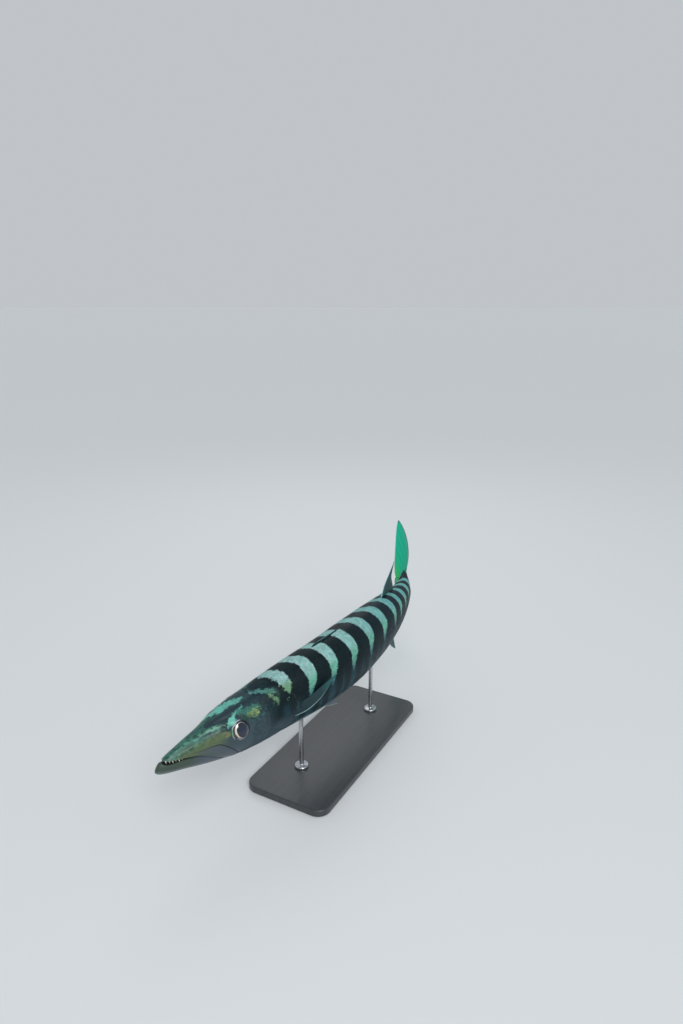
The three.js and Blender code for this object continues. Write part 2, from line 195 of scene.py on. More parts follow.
# The head's folds. A line is seen from the side (along, up), the top or below (along, across).
# Along it run the depth and the width of its crease, and its step, the rise of its upper or right
# side, which dies away with its reach. A fold that leaves one of them out has the plain fold's.
# A fold's dark is the share of shade painted into its groove, full in the gaps of the mouth and the gill
# slit.
plainFold = {"view": "side", "step": [0], "reach": 3, "dark": 0}
headFolds = {
    "mouth": {
        "depth": [3, 5.5, 6.5, 6, 4.5, 3, 2, 1.2], "width": [1.2, 2.3, 2.7, 2.2, 1.4, 1, 0.8, 0.6],
        "step": [0.4, 0.5, 0.4, 0], "reach": 4, "dark": 1,
        "line": [[14, 8], [14.6, 4.6], [17, 2.6], [24, -0.6], [38, -3], [50, -5], [75, -12.5],
                 [90, -21], [108, -33], [117, -40]],
    },
    "lipUpper": {
        "depth": [-0.5, -0.6, -0.5, -0.2], "width": [1.5],
        "line": [[17, 7], [24, 2.9], [38, 0.8], [50, -1.2], [75, -8.6], [90, -17]],
    },
    "lipLower": {
        "depth": [-0.5, -0.5, -0.4, -0.1], "width": [1.4],
        "line": [[16, -0.5], [24, -4.2], [38, -6.6], [50, -8.4], [75, -15.6], [88, -23]],
    },
    "jawPlate": {  # the upper edge of the jaw plate, which slides under the cheek
        "depth": [0, 0.7, 1.4, 2.2, 2.3, 2, 0.5], "width": [0.9, 0.9, 1.1, 1.4, 1.3, 1],
        "step": [0, 0.7, 1.4, 1.9, 1.8, 1.2, 0.2], "reach": 6, "dark": 0.95,
        "line": [[38, 3.6], [54, 0.2], [69, -2], [82, -3.1], [95, -3.8], [105, -4.3], [113, -6.4],
                 [122, -13], [134, -25.5], [146, -39], [156, -52]],
    },
    "jawPlateRidge": {
        "depth": [0, -0.6, -0.8, -0.5, 0], "width": [2],
        "line": [[62, -6], [84, -10], [104, -18], [118, -29], [128, -40]],
    },
    "lipCrease": {
        "depth": [0, 0.6, 0.8, 0.6, 0], "width": [0.9], "step": [0.2], "dark": 0.45,
        "line": [[40, 0.4], [54, -3.6], [75, -9.6], [93, -15.4], [106, -19]],
    },
    "snoutGroove": {  # along the side of the snout up to the nostrils
        "depth": [0, 0.5, 0.8, 0.7, 0.2], "width": [2.4], "step": [0, 0.4, 0.6, 0.4], "reach": 6,
        "dark": 0.25, "line": [[36, 10], [60, 14], [86, 17.5], [108, 20.5], [124, 24]],
    },
    "underEye": {
        "depth": [0, 0.5, 0.6, 0.4, 0], "width": [1.7], "step": [0.2], "reach": 4, "dark": 0.12,
        "line": [[122, 6], [129, -7], [142, -17], [160, -20], [176, -12], [184, 4]],
    },
    "preopercle": {
        "depth": [0, 0.7, 1, 1, 0.9, 0.6, 0], "width": [1.1],
        "step": [0, -0.4, -0.7, -0.8, -0.6, 0], "reach": 6, "dark": 0.35,
        "line": [[199, 33], [204, 20], [206, 4], [205, -14], [198, -32], [184, -46], [162, -54]],
    },
    "preopercleInner": {
        "depth": [0, 0.4, 0.5, 0.4, 0], "width": [1.6], "step": [-0.3], "reach": 5, "dark": 0.1,
        "line": [[190, 24], [194, 6], [192, -14], [184, -30], [170, -41]],
    },
    "subopercle": {
        "depth": [0, 0.5, 0.6, 0.5, 0], "width": [1.1], "step": [0.5], "reach": 5, "dark": 0.2,
        "line": [[206, -22], [222, -30], [240, -32], [256, -26]],
    },
    "gillSlit": {
        "depth": [0.2, 1.6, 2.4, 2.6, 2.6, 2.4, 2, 1.4, 0.5], "width": [1.3],
        "step": [0, -0.8, -1.3, -1.5, -1.5, -1.3, -1, -0.4], "reach": 6, "dark": 1,
        "line": [[236, 41], [250, 37], [262, 25], [269.5, 8], [271, -4], [266, -22], [253, -38],
                 [228, -51], [196, -58]],
    },
    "browRidge": {
        "view": "top", "depth": [0, -1, -1.6, -1.7, -1.2, -0.4, 0], "width": [3.2],
        "line": [[112, 20], [126, 25.5], [142, 29.5], [158, 31.5], [172, 32.5], [186, 33], [200, 33]],
    },
    "browGroove": {
        "view": "top", "depth": [0, 0.8, 1, 0.9, 0.5, 0], "width": [2.6], "dark": 0.2,
        "line": [[112, 14], [128, 18.5], [146, 22], [164, 24], [182, 25], [204, 25]],
    },
    "skullRidge": {
        "view": "top", "depth": [0, -0.6, -0.9, -0.9, -0.6, 0], "width": [2.2],
        "line": [[84, 6], [112, 9.5], [140, 13], [168, 15.5], [196, 15], [224, 11]],
    },
    "skullMiddle": {
        "view": "top", "depth": [0, 0.5, 1.1, 1.4, 1.1, 0.6, 0], "width": [4.2], "dark": 0.1,
        "line": [[58, 0], [84, 0], [110, 0], [135, 0], [160, 0], [190, 0], [214, 0]],
    },
    "chinGroove": {
        "view": "below", "depth": [0, 0.8, 1.2, 1.2, 0.9, 0], "width": [1.3], "dark": 0.3,
        "line": [[18, 4], [46, 7], [80, 10], [112, 13], [140, 12], [166, 6]],
    },
    "throatMiddle": {
        "view": "below", "depth": [0, 1, 1.6, 2, 1.6, 0.4], "width": [1.5], "dark": 0.4,
        "line": [[96, 0], [118, 0], [140, 0], [164, 0], [188, 0], [208, 0]],
    },
}
foldReach = {"end": 290, "top": 8, "below": -18, "margin": 14, "stepEase": 1.1}
skin = {
    "inset": 0.4,  # the depth of the scales over it
    "columns": 224, "headRings": 272, "trunkRings": 134, "tipRings": 12, "endRings": 9,
    "tipRound": 6, "headEnd": 274, "endRound": 9,
    "plateColumn": 0.42, "mouthColumn": 0.56,  # where the columns follow the jaw plate and the mouth
    "guidesEnd": (152, 218), "cornerOfMouth": (112, 122),
    "throatFolds": 0.4, "throatPitch": 5.6, "throatSlant": 0.08, "throatFrom": 110,
    "throatStart": (112, 135), "throatEnd": (190, 232), "throatUnder": (40, 48),
    "nostrils": [[125, 21.5, 1.2], [131.5, 23.5, 1.7]], "nostrilDepth": 2.4, "nostrilShape": 1.3,
    "nostrilRim": (0.5, 0.9, 0.8),  # height, distance from the pit and width
    "lateralLine": [[262, 13], [330, 10.5], [420, 6], [520, 2.5], [640, 0.6], [866, 0]],
    "lineRise": 0.45, "lineWidth": 1.2, "lineStart": (262, 274),
    # the fins' roots along the ridge: height, width, start, end and side (the back is 1)
    "finRoots": [(-1.6, 3.4, (350, 358), (440, 450), 1), (1.2, 3, (622, 634), (706, 716), 1),
                 (1.2, 3, (642, 654), (720, 730), -1)],
    "shoulder": (270, -12), "shoulderSize": (12, 16), "shoulderRise": 1.3, "shoulderStart": (268, 276),
}
eye = {
    "along": 152, "up": 7, "radius": 19.5, "narrow": 0.92, "depth": 12, "inset": 7.5,
    "frontRings": 60, "backRings": 16, "sides": 96,
    "lookUp": 18, "lookAhead": 5,  # degrees
    "opening": 16.8, "openingNarrow": 0.89, "drop": 5.2, "wall": 1.5, "foldsFade": (-1, 4),
    "rims": [(1.6, 1.9, 1.0), (6.5, 2.4, -0.7)],  # distance from the opening, width and height
    "warp": 6, "warpNear": 30,
    # the pupil's, the silver ring's and the iris's radius, and the groove, as shares of the eye's
    "pupil": 0.67, "pupilNarrow": 0.86, "pupilBack": 0.04, "ring": 0.7, "iris": 0.84,
    "groove": 0.76, "grooveDepth": 0.35, "grooveWidth": 0.05,
}


def foldRelief(at, across, up):
    rise, dark = np.zeros(at.shape), np.zeros(at.shape)
    onHead = at < foldReach["end"]
    views = {"side": (up, onHead), "top": (np.abs(across), onHead & (up > foldReach["top"])),
             "below": (np.abs(across), onHead & (up < foldReach["below"]))}
    for given in headFolds.values():
        fold = {**plainFold, **given}
        height, mask = views[fold["view"]]
        for value, places in zip((at, height), np.array(fold["line"], float).T):
            low, high = places.min() - foldReach["margin"], places.max() + foldReach["margin"]
            mask = mask & (value > low) & (value < high)
        if not mask.any():
            continue
        away, side, share = lineField(fold["line"], at[mask], height[mask])

        def run(name):
            values = fold[name]
            return np.interp(share, np.linspace(0, 1, len(values)), values)

        creaseAndShade = bell(away, run("width"))
        step = run("step") * np.tanh(side * away / foldReach["stepEase"])
        rise[mask] += step * np.exp(-away / fold["reach"]) - run("depth") * creaseAndShade
        # Painted shade in the groove, as strong as the fold is deep at this point.
        strong = np.clip(run("depth") / max(max(fold["depth"]), 1e-6), 0, 1)
        dark[mask] = np.maximum(dark[mask], fold["dark"] * creaseAndShade * strong)
    return rise, dark


def eyeDistance(at, up):
    tilted = (up - eye["up"]) / math.cos(math.radians(eye["lookUp"]))
    return np.hypot((at - eye["along"]) / eye["openingNarrow"], tilted)


def relief(at, angle):  # how far the skin stands off the plain section, and how much shade is painted into its grooves, slits, pits and the eye's opening
    plain = sectionPoint(at, angle)
    across, up = plain[..., 1], plain[..., 2]
    rise, dark = foldRelief(at, across, up)

    # Inside the eye's opening the skin sinks and is painted in full shade.
    beyond = eyeDistance(at, up) - eye["opening"]
    inside = smooth(-beyond, 0, eye["wall"])
    rise = rise * smooth(beyond, *eye["foldsFade"]) - eye["drop"] * inside
    for place, width, height in eye["rims"]:
        rise += height * bell(beyond - place, width)
    dark = np.maximum(dark * (beyond > 0), inside)

    rimHeight, rimAway, rimWidth = skin["nostrilRim"]
    for place, level, size in skin["nostrils"]:
        away = np.hypot(at - place, (up - level) * skin["nostrilShape"])
        rise += rimHeight * bell(away - size - rimAway, rimWidth) * (up > 0)
        rise -= skin["nostrilDepth"] * bell(away, size)
        # The nostril pits are painted in shade.
        dark = np.maximum(dark, bell(away, size))

    slanted = np.abs(across) - skin["throatSlant"] * (at - skin["throatFrom"])
    throat = between(at, skin["throatStart"], skin["throatEnd"]) * smooth(-up, *skin["throatUnder"])
    rise += skin["throatFolds"] * np.cos(2 * np.pi * slanted / skin["throatPitch"]) * throat

    line = bell(up - readTable(skin["lateralLine"], 1, at), skin["lineWidth"])
    onFlank = smooth(at, *skin["lineStart"]) * (np.abs(np.sin(angle)) > 0.6)
    rise += skin["lineRise"] * line * onFlank

    for height, width, start, end, side in skin["finRoots"]:
        rise += height * bell(across, width) * between(at, start, end) * (up * side > 5)
    (place, level), (long, tall) = skin["shoulder"], skin["shoulderSize"]
    shoulder = bell(np.hypot((at - place) / long, (up - level) / tall), 1)
    rise += skin["shoulderRise"] * shoulder * smooth(at, *skin["shoulderStart"])
    return rise, dark


def skinPoint(at, angle):
    rise, _ = relief(at, angle)
    return sectionPoint(at, angle) + surfaceNormal(at, angle) * (rise - skin["inset"])[..., None]


# Making meshes

def addAttribute(mesh, name, values):
    values = np.asarray(values, np.float32)
    kind, key = ("FLOAT_VECTOR", "vector") if values.ndim == 2 else ("FLOAT", "value")
    mesh.attributes.new(name, kind, "POINT").data.foreach_set(key, values.ravel())


def makePiece(name, points, faces, **attributes):
    mesh = bpy.data.meshes.new(name)
    mesh.from_pydata(np.asarray(points).reshape(-1, 3).tolist(), [], faces)
    mesh.polygons.foreach_set("use_smooth", np.ones(len(mesh.polygons), bool))
    for key, values in attributes.items():
        addAttribute(mesh, key, values)
    mesh.update()
    piece = bpy.data.objects.new(name, mesh)
    bpy.context.scene.collection.objects.link(piece)
    return piece


def ringFaces(rings, columns, first=0):  # quads between closed rings, with capped ends
    i, j = np.meshgrid(np.arange(rings - 1) * columns, np.arange(columns), indexing="ij")
    nextJ = (j + 1) % columns
    quads = np.stack([i + j, i + nextJ, i + columns + nextJ, i + columns + j], -1)
    faces = (quads.reshape(-1, 4) + first).tolist()
    last, cap = first + (rings - 1) * columns, first + rings * columns
    for k in range(columns):
        after = (k + 1) % columns
        faces.append([cap, first + after, first + k])
        faces.append([cap + 1, last + k, last + after])
    return faces


def withCaps(rings):  # the rings' points, then the middles of the first and the last ring
    flat = rings.reshape(-1, rings.shape[-1])
    return np.concatenate([flat, rings[0].mean(0, keepdims=True), rings[-1].mean(0, keepdims=True)])


def facingOut(points, faces):  # the faces of a closed shape, turned over if they look inwards
    fans = np.array([[face[0], *face[k:k + 2]] for face in faces for k in range(1, len(face) - 1)])
    a, b, c = (points[fans[:, k]] for k in range(3))
    inwards = np.sum(a * np.cross(b, c)) < 0
    return [face[::-1] for face in faces] if inwards else faces


def loft(name, rings, **attributes):
    points = withCaps(rings)
    flat = {}
    for key, values in attributes.items():
        flat[key] = withCaps(values) if values.ndim == 3 else withCaps(values[..., None])[:, 0]
    return makePiece(name, points, facingOut(points, ringFaces(*rings.shape[:2])), **flat)


# The unwrap: the fish's own shape, unrolled, with more room for the head
unrolled = {"places": [0, 270, 880], "along": [0.005, 0.45, 0.99], "caps": [0.002, 0.998], "around": 0.98}


def unwrap(at, angle):
    along = np.interp(at, unrolled["places"], unrolled["along"])
    return np.stack([along, (angle % (2 * np.pi)) / (2 * np.pi)], -1)


def addBakeMap(piece, place):  # place gives each vertex its spot on the unwrap
    mesh = piece.data
    corners = np.empty(len(mesh.loops), np.int32)
    mesh.loops.foreach_get("vertex_index", corners)
    spots = place[corners]
    faceOf = np.repeat(np.arange(len(mesh.polygons)), [p.loop_total for p in mesh.polygons])
    high = np.zeros(len(mesh.polygons))
    np.maximum.at(high, faceOf, spots[:, 1])
    wraps = (high[faceOf] > 0.75) & (spots[:, 1] < 0.25)  # a face over the seam stays whole
    spots[:, 1] = np.where(wraps, spots[:, 1] + 1, spots[:, 1]) * unrolled["around"]
    mesh.uv_layers.new(name="OFBake").data.foreach_set("uv", spots.astype(np.float32).ravel())


def addNode(tree, kind, settings, values):  # a value is a socket to link, or else it is set
    node = tree.nodes.new(kind)
    for key, value in settings.items():
        setattr(node, key, value)
    for key, value in values.items():
        if isinstance(value, bpy.types.NodeSocket):
            tree.links.new(value, node.inputs[key])
        else:
            node.inputs[key].default_value = value
    return node


# Shader maths. A wire is a node's output, and expressions on wires add their nodes.

class Wire:
    def __init__(self, paint, socket):
        self.paint = paint
        self.socket = socket

    def maths(self, operation, *others):
        values = dict(enumerate((self, *others)))
        return self.paint.node("ShaderNodeMath", {"operation": operation}, values)

    def __add__(self, other):
        return self.maths("ADD", other)

    __radd__ = __add__

    def __mul__(self, other):
        return self.maths("MULTIPLY", other)

    def __sub__(self, other):
        return self.maths("SUBTRACT", other)

    def __rsub__(self, other):
        return self * -1 + other

    def __truediv__(self, other):
        return self.maths("DIVIDE", other)

    def __pow__(self, other):
        return self.maths("POWER", other)

    def __neg__(self):
        return self * -1

    def __abs__(self):
        return self.maths("ABSOLUTE")

    def held(self):  # kept from 0 to 1
        return self.paint.node("ShaderNodeClamp", {}, {"Value": self})

    def within(self, low, high):  # eases from 0 at low to 1 at high
        values = {"Value": self, "From Min": low, "From Max": high, "To Min": 0, "To Max": 1}
        return self.paint.node("ShaderNodeMapRange", {"interpolation_type": "SMOOTHSTEP"}, values)


class Paint:
    def __init__(self, name):
        self.material = bpy.data.materials.new(name)
        self.material.use_nodes = True
        self.tree = self.material.node_tree
        self.tree.nodes.clear()

    def add(self, kind, settings, values):
        plain = {key: value.socket if isinstance(value, Wire) else value for key, value in values.items()}
        return addNode(self.tree, kind, settings, plain)

    def node(self, kind, settings=None, values=None, out=0):
        return Wire(self, self.add(kind, settings or {}, values or {}).outputs[out])

    def attribute(self, name, out=2):
        return self.node("ShaderNodeAttribute", {"attribute_name": name}, out=out)

    def own(self):  # the piece's own coordinates
        return self.node("ShaderNodeTexCoord", out=3)

    def parts(self, vector):
        return [self.node("ShaderNodeSeparateXYZ", {}, {0: vector}, out=k) for k in range(3)]

    def noise(self, vector, scale, detail=2.0, roughness=0.5):
        values = {"Vector": vector, "Scale": scale, "Detail": detail, "Roughness": roughness}
        return self.node("ShaderNodeTexNoise", {}, values)

    def stretched(self, vector, stretch):
        return self.node("ShaderNodeVectorMath", {"operation": "MULTIPLY"}, {0: vector, 1: stretch})

    def mix(self, share, first, second):
        return self.node("ShaderNodeMix", {"data_type": "RGBA"}, {0: share, 6: first, 7: second}, out=2)

    def graph(self, value, knots, low, high):  # a smooth graph of value, its knots in their own units
        start, end = knots[0][0], knots[-1][0]
        made = self.node("ShaderNodeFloatCurve", {}, {1: (value - start) / (end - start)})
        mapping = made.socket.node.mapping
        spots = [((x - start) / (end - start), (y - low) / (high - low)) for x, y in knots]
        for spot in spots[1:-1]:
            mapping.curves[0].points.new(*spot)
        for point, spot in zip(mapping.curves[0].points, spots):
            point.location = spot
            point.handle_type = "AUTO_CLAMPED"
        mapping.update()
        return made * (high - low) + low

    def finish(self, values):
        shader = self.add("ShaderNodeBsdfPrincipled", {}, values)
        self.add("ShaderNodeOutputMaterial", {}, {"Surface": shader.outputs[0]})
        return self.material

    def bump(self, height, distance, strength=1.0):
        values = {"Height": height, "Distance": distance, "Strength": strength}
        return self.node("ShaderNodeBump", {}, values)


def tint(red, green, blue):  # a colour as a screen shows it, from 0 to 255
    def linear(value):
        value /= 255
        return value / 12.92 if value <= 0.04045 else ((value + 0.055) / 1.055) ** 2.4

    return (linear(red), linear(green), linear(blue), 1)


# The markings, the same on the skin and on the scales
bands = {
    # the middle of each pale band on the ridge of the back
    "places": [258, 313, 369, 429, 493, 558, 622, 668, 716, 766, 812],
    # how far a band stands back from that, by the angle round the body, left of the ridge first
    "shift": [[-180, -14], [-120, -12], [-85, -8], [-70, 0], [-50, 6], [-20, 4], [0, -1], [18, -9], [50, -4],
              [70, -10], [85, -16], [120, -20], [180, -22]],
    # half a band's width as a share of the way to the next, by the same angle from the ridge
    "half": [[0, 0.225], [35, 0.22], [55, 0.19], [72, 0.13], [88, 0.05], [104, -0.06], [180, -0.1]],
    "barPlace": 0.29, "barHalf": 0.15, "barFrom": 74, "barTo": 96, "barFade": (112, 150),
    "before": 56, "after": 46,  # the steps to the places before the first band and after the last
    "start": (226, 238), "end": (834, 842), "firstFade": (262, 296),  # where they fade, along
    "rearFade": (300, 720), "darkFade": (350, 760),  # where the pale and the dark turn to the rear's
    "pale": tint(132, 180, 174), "paleFleck": tint(152, 184, 184), "paleGreen": tint(102, 166, 146),
    "paleRear": tint(94, 160, 158), "paleLow": tint(54, 88, 98), "paleGold": tint(98, 136, 92),
    "dark": tint(5, 24, 30), "darkGreen": tint(9, 32, 31), "darkRear": tint(3, 32, 42),
    "gap": tint(20, 52, 62), "flank": tint(34, 66, 74), "belly": tint(142, 156, 164),
}
headPaint = {
    "crown": tint(28, 52, 60), "snout": tint(58, 104, 90), "snoutDark": tint(28, 60, 60),
    "lip": tint(82, 98, 70), "cheek": tint(54, 70, 78), "cheekLow": tint(68, 84, 92),
    "plate": tint(70, 82, 92), "jaw": tint(60, 76, 66), "jawEdge": tint(98, 112, 112),
    # The near-black colour for the creases is painted shade for the grooves and the gaps of the head.
    "opercle": tint(18, 36, 42), "creaseAndShade": tint(4, 9, 11), "spots": tint(66, 132, 110),
    "gold": tint(206, 206, 130), "goldPlace": (187, 57), "goldFade": 0.012,
    "snoutEnd": (104, 134), "opercleStart": (194, 224), "napeStart": (228, 240), "trunkStart": (250, 282),
    "edge": 1.6, "degree": 0.62,  # the strokes' soft edge, and millimetres to a degree round the head
    # strokes of colour: where one starts and ends, each as a place along, degrees round from the
    # ridge (left is less) and half a width in millimetres, and then its strength
    "strokes": [
        (tint(42, 72, 80), (92, -2, 5), (70, 9, 3), 0.6),
        (tint(96, 156, 134), (114, -44, 5), (98, -34, 3), 0.85),
        (tint(84, 142, 118), (94, -30, 3), (84, -24, 2), 0.7),
        (tint(34, 66, 70), (100, -42, 2), (84, -42, 2), 0.7),
        (tint(80, 142, 122), (78, -34, 3), (58, -18, 3), 0.8),
        (tint(96, 126, 88), (76, -54, 3.4), (46, -46, 2.6), 0.6),
        (tint(90, 140, 120), (50, -22, 2.4), (32, -24, 3), 0.75),
        (tint(32, 62, 58), (66, -46, 2), (44, -36, 1.6), 0.6),
        (tint(92, 106, 72), (90, -66, 3), (126, -74, 6.4), 0.6),
        (tint(122, 126, 84), (122, -64, 2.4), (129, -80, 3.2), 0.6),
        (tint(22, 44, 54), (106, -10, 8.5), (134, -25, 6.5), 0.95),
        (tint(22, 44, 54), (134, -25, 6.5), (176, -18, 2.4), 0.95),
        (tint(16, 40, 48), (176, -26, 4), (210, -20, 6), 0.7),
        # Painted reflection: the next two pale strokes, right of the ridge where the left side has dark
        # ones, stand for the sky's sheen on the top of the head.
        (tint(104, 184, 166), (117, 26, 7), (138, 9, 8), 0.95),
        (tint(98, 176, 160), (138, 9, 8), (181, -5, 1.6), 0.92),
        (tint(104, 180, 158), (134, -55, 3.4), (143, -47, 6.2), 0.9),
        (tint(104, 184, 166), (143, -47, 6.2), (150, -37, 3), 0.92),
        (tint(80, 160, 144), (150, -37, 2.4), (168, -28, 2), 0.75),
        (tint(52, 116, 100), (160, -38, 5), (188, -53, 8), 0.7),
        (tint(40, 72, 52), (160, -54, 3.4), (174, -60, 3), 0.7),
        (tint(116, 138, 84), (176, -53, 3.4), (192, -60, 4), 0.7),
        (tint(14, 34, 40), (206, -42, 6), (232, -52, 5), 0.7),
        (tint(12, 34, 42), (216, -2, 10), (240, -26, 6.5), 0.95),
        (tint(84, 138, 136), (198, -9, 2.4), (216, -24, 3.6), 0.8),
        (tint(84, 138, 124), (216, -24, 3.6), (243, -42, 4), 0.75),
        (tint(112, 154, 112), (224, -42, 3), (234, -62, 4.4), 0.7),
        (tint(54, 92, 70), (240, -52, 4), (252, -62, 3), 0.7),
        (tint(104, 180, 158), (134, 55, 3.4), (143, 47, 6.2), 0.9),
        (tint(104, 184, 166), (143, 47, 6.2), (154, 36, 3), 0.92),
        (tint(92, 106, 72), (90, 66, 3), (126, 74, 6.4), 0.6),
        (tint(96, 156, 134), (114, 44, 5), (60, 30, 3), 0.5),
        (tint(52, 116, 100), (160, 38, 5), (188, 53, 8), 0.7),
        (tint(116, 138, 84), (176, 53, 3.4), (192, 60, 4), 0.7),
        (tint(84, 138, 124), (204, 20, 2.6), (240, 38, 4), 0.7),
    ],
}


def markings(paint):  # at is along in millimetres, and turned is in degrees from the ridge
    place = paint.attribute("restPlace", out=1)
    ring = paint.attribute("restRing")
    # The head lines' third part is the shade painted into the grooves and the gaps.
    lines = paint.attribute("headLinesAndShade", out=1)
    at, _, up = paint.parts(place)
    mouthSide, plateSide, creaseAndShade = paint.parts(lines)
    turned = abs(ring)

    broad = paint.noise(place, 0.035, 3) - 0.5
    fine = paint.noise(place, 0.16, 3) - 0.5
    grain = paint.noise(place, 0.62, 2) - 0.5
    streak = paint.noise(paint.stretched(place, (0.3, 1, 1)), 0.32, 3) - 0.5

    def roundPast(sway, low, high):  # past these degrees from the ridge, with a wavy edge
        return (turned + broad * sway).within(low, high)

    def alongPast(sway, low, high):
        return (at + broad * sway).within(low, high)

    # Pale bands over the back, each running back and then forward down the flank
    shift = paint.graph(ring, bands["shift"], -24, 10)
    moved = at - shift + broad * 9 + fine * 4
    steps = [(x, k) for k, x in enumerate(bands["places"])]
    before, after = steps[0][0] - bands["before"], steps[-1][0] + bands["after"]
    steps = [(before, -1), *steps, (after, len(steps))]
    phase = paint.graph(moved, steps, -1, len(steps) - 2)
    near = abs(phase - phase.maths("ROUND"))
    first = 1 - moved.within(*bands["firstFade"])
    half = paint.graph(turned, bands["half"], -0.1, 0.25) + fine * (first * 0.3 + 0.03)
    half = half + grain * (first * 0.16 + 0.08) - first * roundPast(8, 38, 70) * 0.16
    onBody = moved.within(*bands["start"]) * (1 - at.within(*bands["end"]))
    pale = (half - near).within(-0.02, 0.03) * onBody

    # Below the saddles, two dark bars each, which fade towards the belly
    bar = (bands["barHalf"] - abs(near - bands["barPlace"]) + grain * 0.06).within(-0.07, 0.07)
    lower = roundPast(14, bands["barFrom"], bands["barTo"])
    fade = 1 - roundPast(20, *bands["barFade"])
    saddle = (1 - lower + lower * bar * 0.9) * fade
    flank = paint.mix(roundPast(16, 90, 124), bands["gap"], bands["flank"])
    flank = paint.mix(roundPast(10, 122, 152), flank, bands["belly"])
    dark = paint.mix((fine + 0.5).within(0.45, 0.75), bands["dark"], bands["darkGreen"])
    dark = paint.mix(at.within(*bands["darkFade"]), dark, bands["darkRear"])
    trunk = paint.mix(saddle, flank, dark)
    paleTone = paint.mix((fine + grain + 0.5).within(0.46, 0.62), bands["pale"], bands["paleFleck"])
    paleTone = paint.mix(at.within(*bands["rearFade"]), paleTone, bands["paleRear"])
    paleTone = paint.mix(roundPast(10, 38, 66), paleTone, bands["paleGreen"])
    paleTone = paint.mix(roundPast(12, 66, 90), paleTone, bands["paleLow"])
    paleTone = paint.mix(first * turned.within(26, 48) * 0.8, paleTone, bands["paleGold"])
    paleTone = paint.mix((grain + 0.5).within(0.58, 0.74) * (first * 0.3 + 0.3), paleTone, bands["gap"])
    trunk = paint.mix(pale, trunk, paleTone)

    # The head
    head = paint.mix(roundPast(16, 54, 82), headPaint["crown"], headPaint["cheek"])
    head = paint.mix(roundPast(10, 96, 130), head, headPaint["cheekLow"])
    behind = alongPast(12, *headPaint["opercleStart"]) * (1 - roundPast(18, 84, 122))
    head = paint.mix(behind, head, headPaint["opercle"])
    snoutTone = (streak + broad * 0.6 + 0.5).within(0.36, 0.62)
    snoutTone = paint.mix(snoutTone, headPaint["snoutDark"], headPaint["snout"])
    snoutTone = paint.mix((turned + fine * 20 + streak * 30).within(46, 66), snoutTone, headPaint["lip"])
    head = paint.mix(1 - alongPast(14, *headPaint["snoutEnd"]), head, snoutTone)
    onTop = 1 - roundPast(20, 62, 88)
    spots = (fine + grain * 0.8 + broad * 0.5 + 0.5).within(0.52, 0.74) * onTop
    head = paint.mix(spots * 0.5, head, headPaint["spots"])
    x, y = at + broad * 8, (ring + broad * 12) * headPaint["degree"]
    ragged = fine * 12 + streak * 10 + grain * 4
    for colour, (x0, turn0, r0), (x1, turn1, r1), strength in headPaint["strokes"]:
        y0, y1 = turn0 * headPaint["degree"], turn1 * headPaint["degree"]
        length = (x1 - x0) ** 2 + (y1 - y0) ** 2
        share = ((x - x0) * ((x1 - x0) / length) + (y - y0) * ((y1 - y0) / length)).held()
        away = ((x - x0 - share * (x1 - x0)) ** 2 + (y - y0 - share * (y1 - y0)) ** 2) ** 0.5
        inside = share * (r1 - r0) + r0 - away + ragged
        head = paint.mix(inside.within(-headPaint["edge"], headPaint["edge"]) * strength, head, colour)
    goldAt, goldTurned = headPaint["goldPlace"]
    patch = ((at - goldAt) ** 2 + (turned - goldTurned) ** 2) * headPaint["goldFade"] + fine * 4
    speckles = (fine * 0.7 + grain * 1.1 + 0.5).within(0.6, 0.74) * (1 - patch.within(0.4, 3.2))
    head = paint.mix(speckles * 0.9, head, headPaint["gold"])
    onPlate = (-plateSide).within(-0.5, 1.5) * alongPast(30, 58, 96)
    head = paint.mix(onPlate * 0.85, head, headPaint["plate"])
    jaw = paint.mix((-up - at * 0.3 + fine * 5).within(4, 13), headPaint["jaw"], headPaint["jawEdge"])
    jaw = paint.mix(alongPast(30, 48, 88), jaw, headPaint["plate"])
    head = paint.mix((-mouthSide).within(-0.6, 0.6), head, jaw)
    lipEdge = mouthSide.within(1.6, 2.6) * (1 - mouthSide.within(3.2, 4.6)) * (1 - at.within(30, 64))
    head = paint.mix(lipEdge * 0.7, head, headPaint["jawEdge"])
    mottling = (streak - fine * 0.5 + 0.5).within(0.5, 0.72) * 0.45 * onTop
    head = paint.mix(mottling, head, headPaint["snoutDark"])
    flecks = (grain + 0.5).within(0.6, 0.8) * 0.2 * (onTop * 0.7 + 0.3)
    head = paint.mix(flecks, head, headPaint["jawEdge"])

    onNape = (moved + fine * 6).within(*headPaint["napeStart"])
    colour = paint.mix(onNape * (1 - (turned + fine * 20).within(90, 104)), head, trunk)
    colour = paint.mix(alongPast(10, *headPaint["trunkStart"]), colour, trunk)
    # Painted shade: the grooves, the mouth, the gill slit, the nostrils and the eye's opening turn near
    # black.
    colour = paint.mix(creaseAndShade.within(0.2, 0.62), colour, headPaint["creaseAndShade"])
    return colour, {"at": at, "up": up, "place": place, "creaseAndShade": creaseAndShade, "grain": grain, "fine": fine,
                    "streak": streak}


rimPaint = {  # the skin round the eye
    "inner": (15.9, 16.7), "outer": (18.2, 20.6),
    "behind": tint(20, 32, 38), "front": tint(112, 160, 118), "ends": tint(186, 200, 216),
}


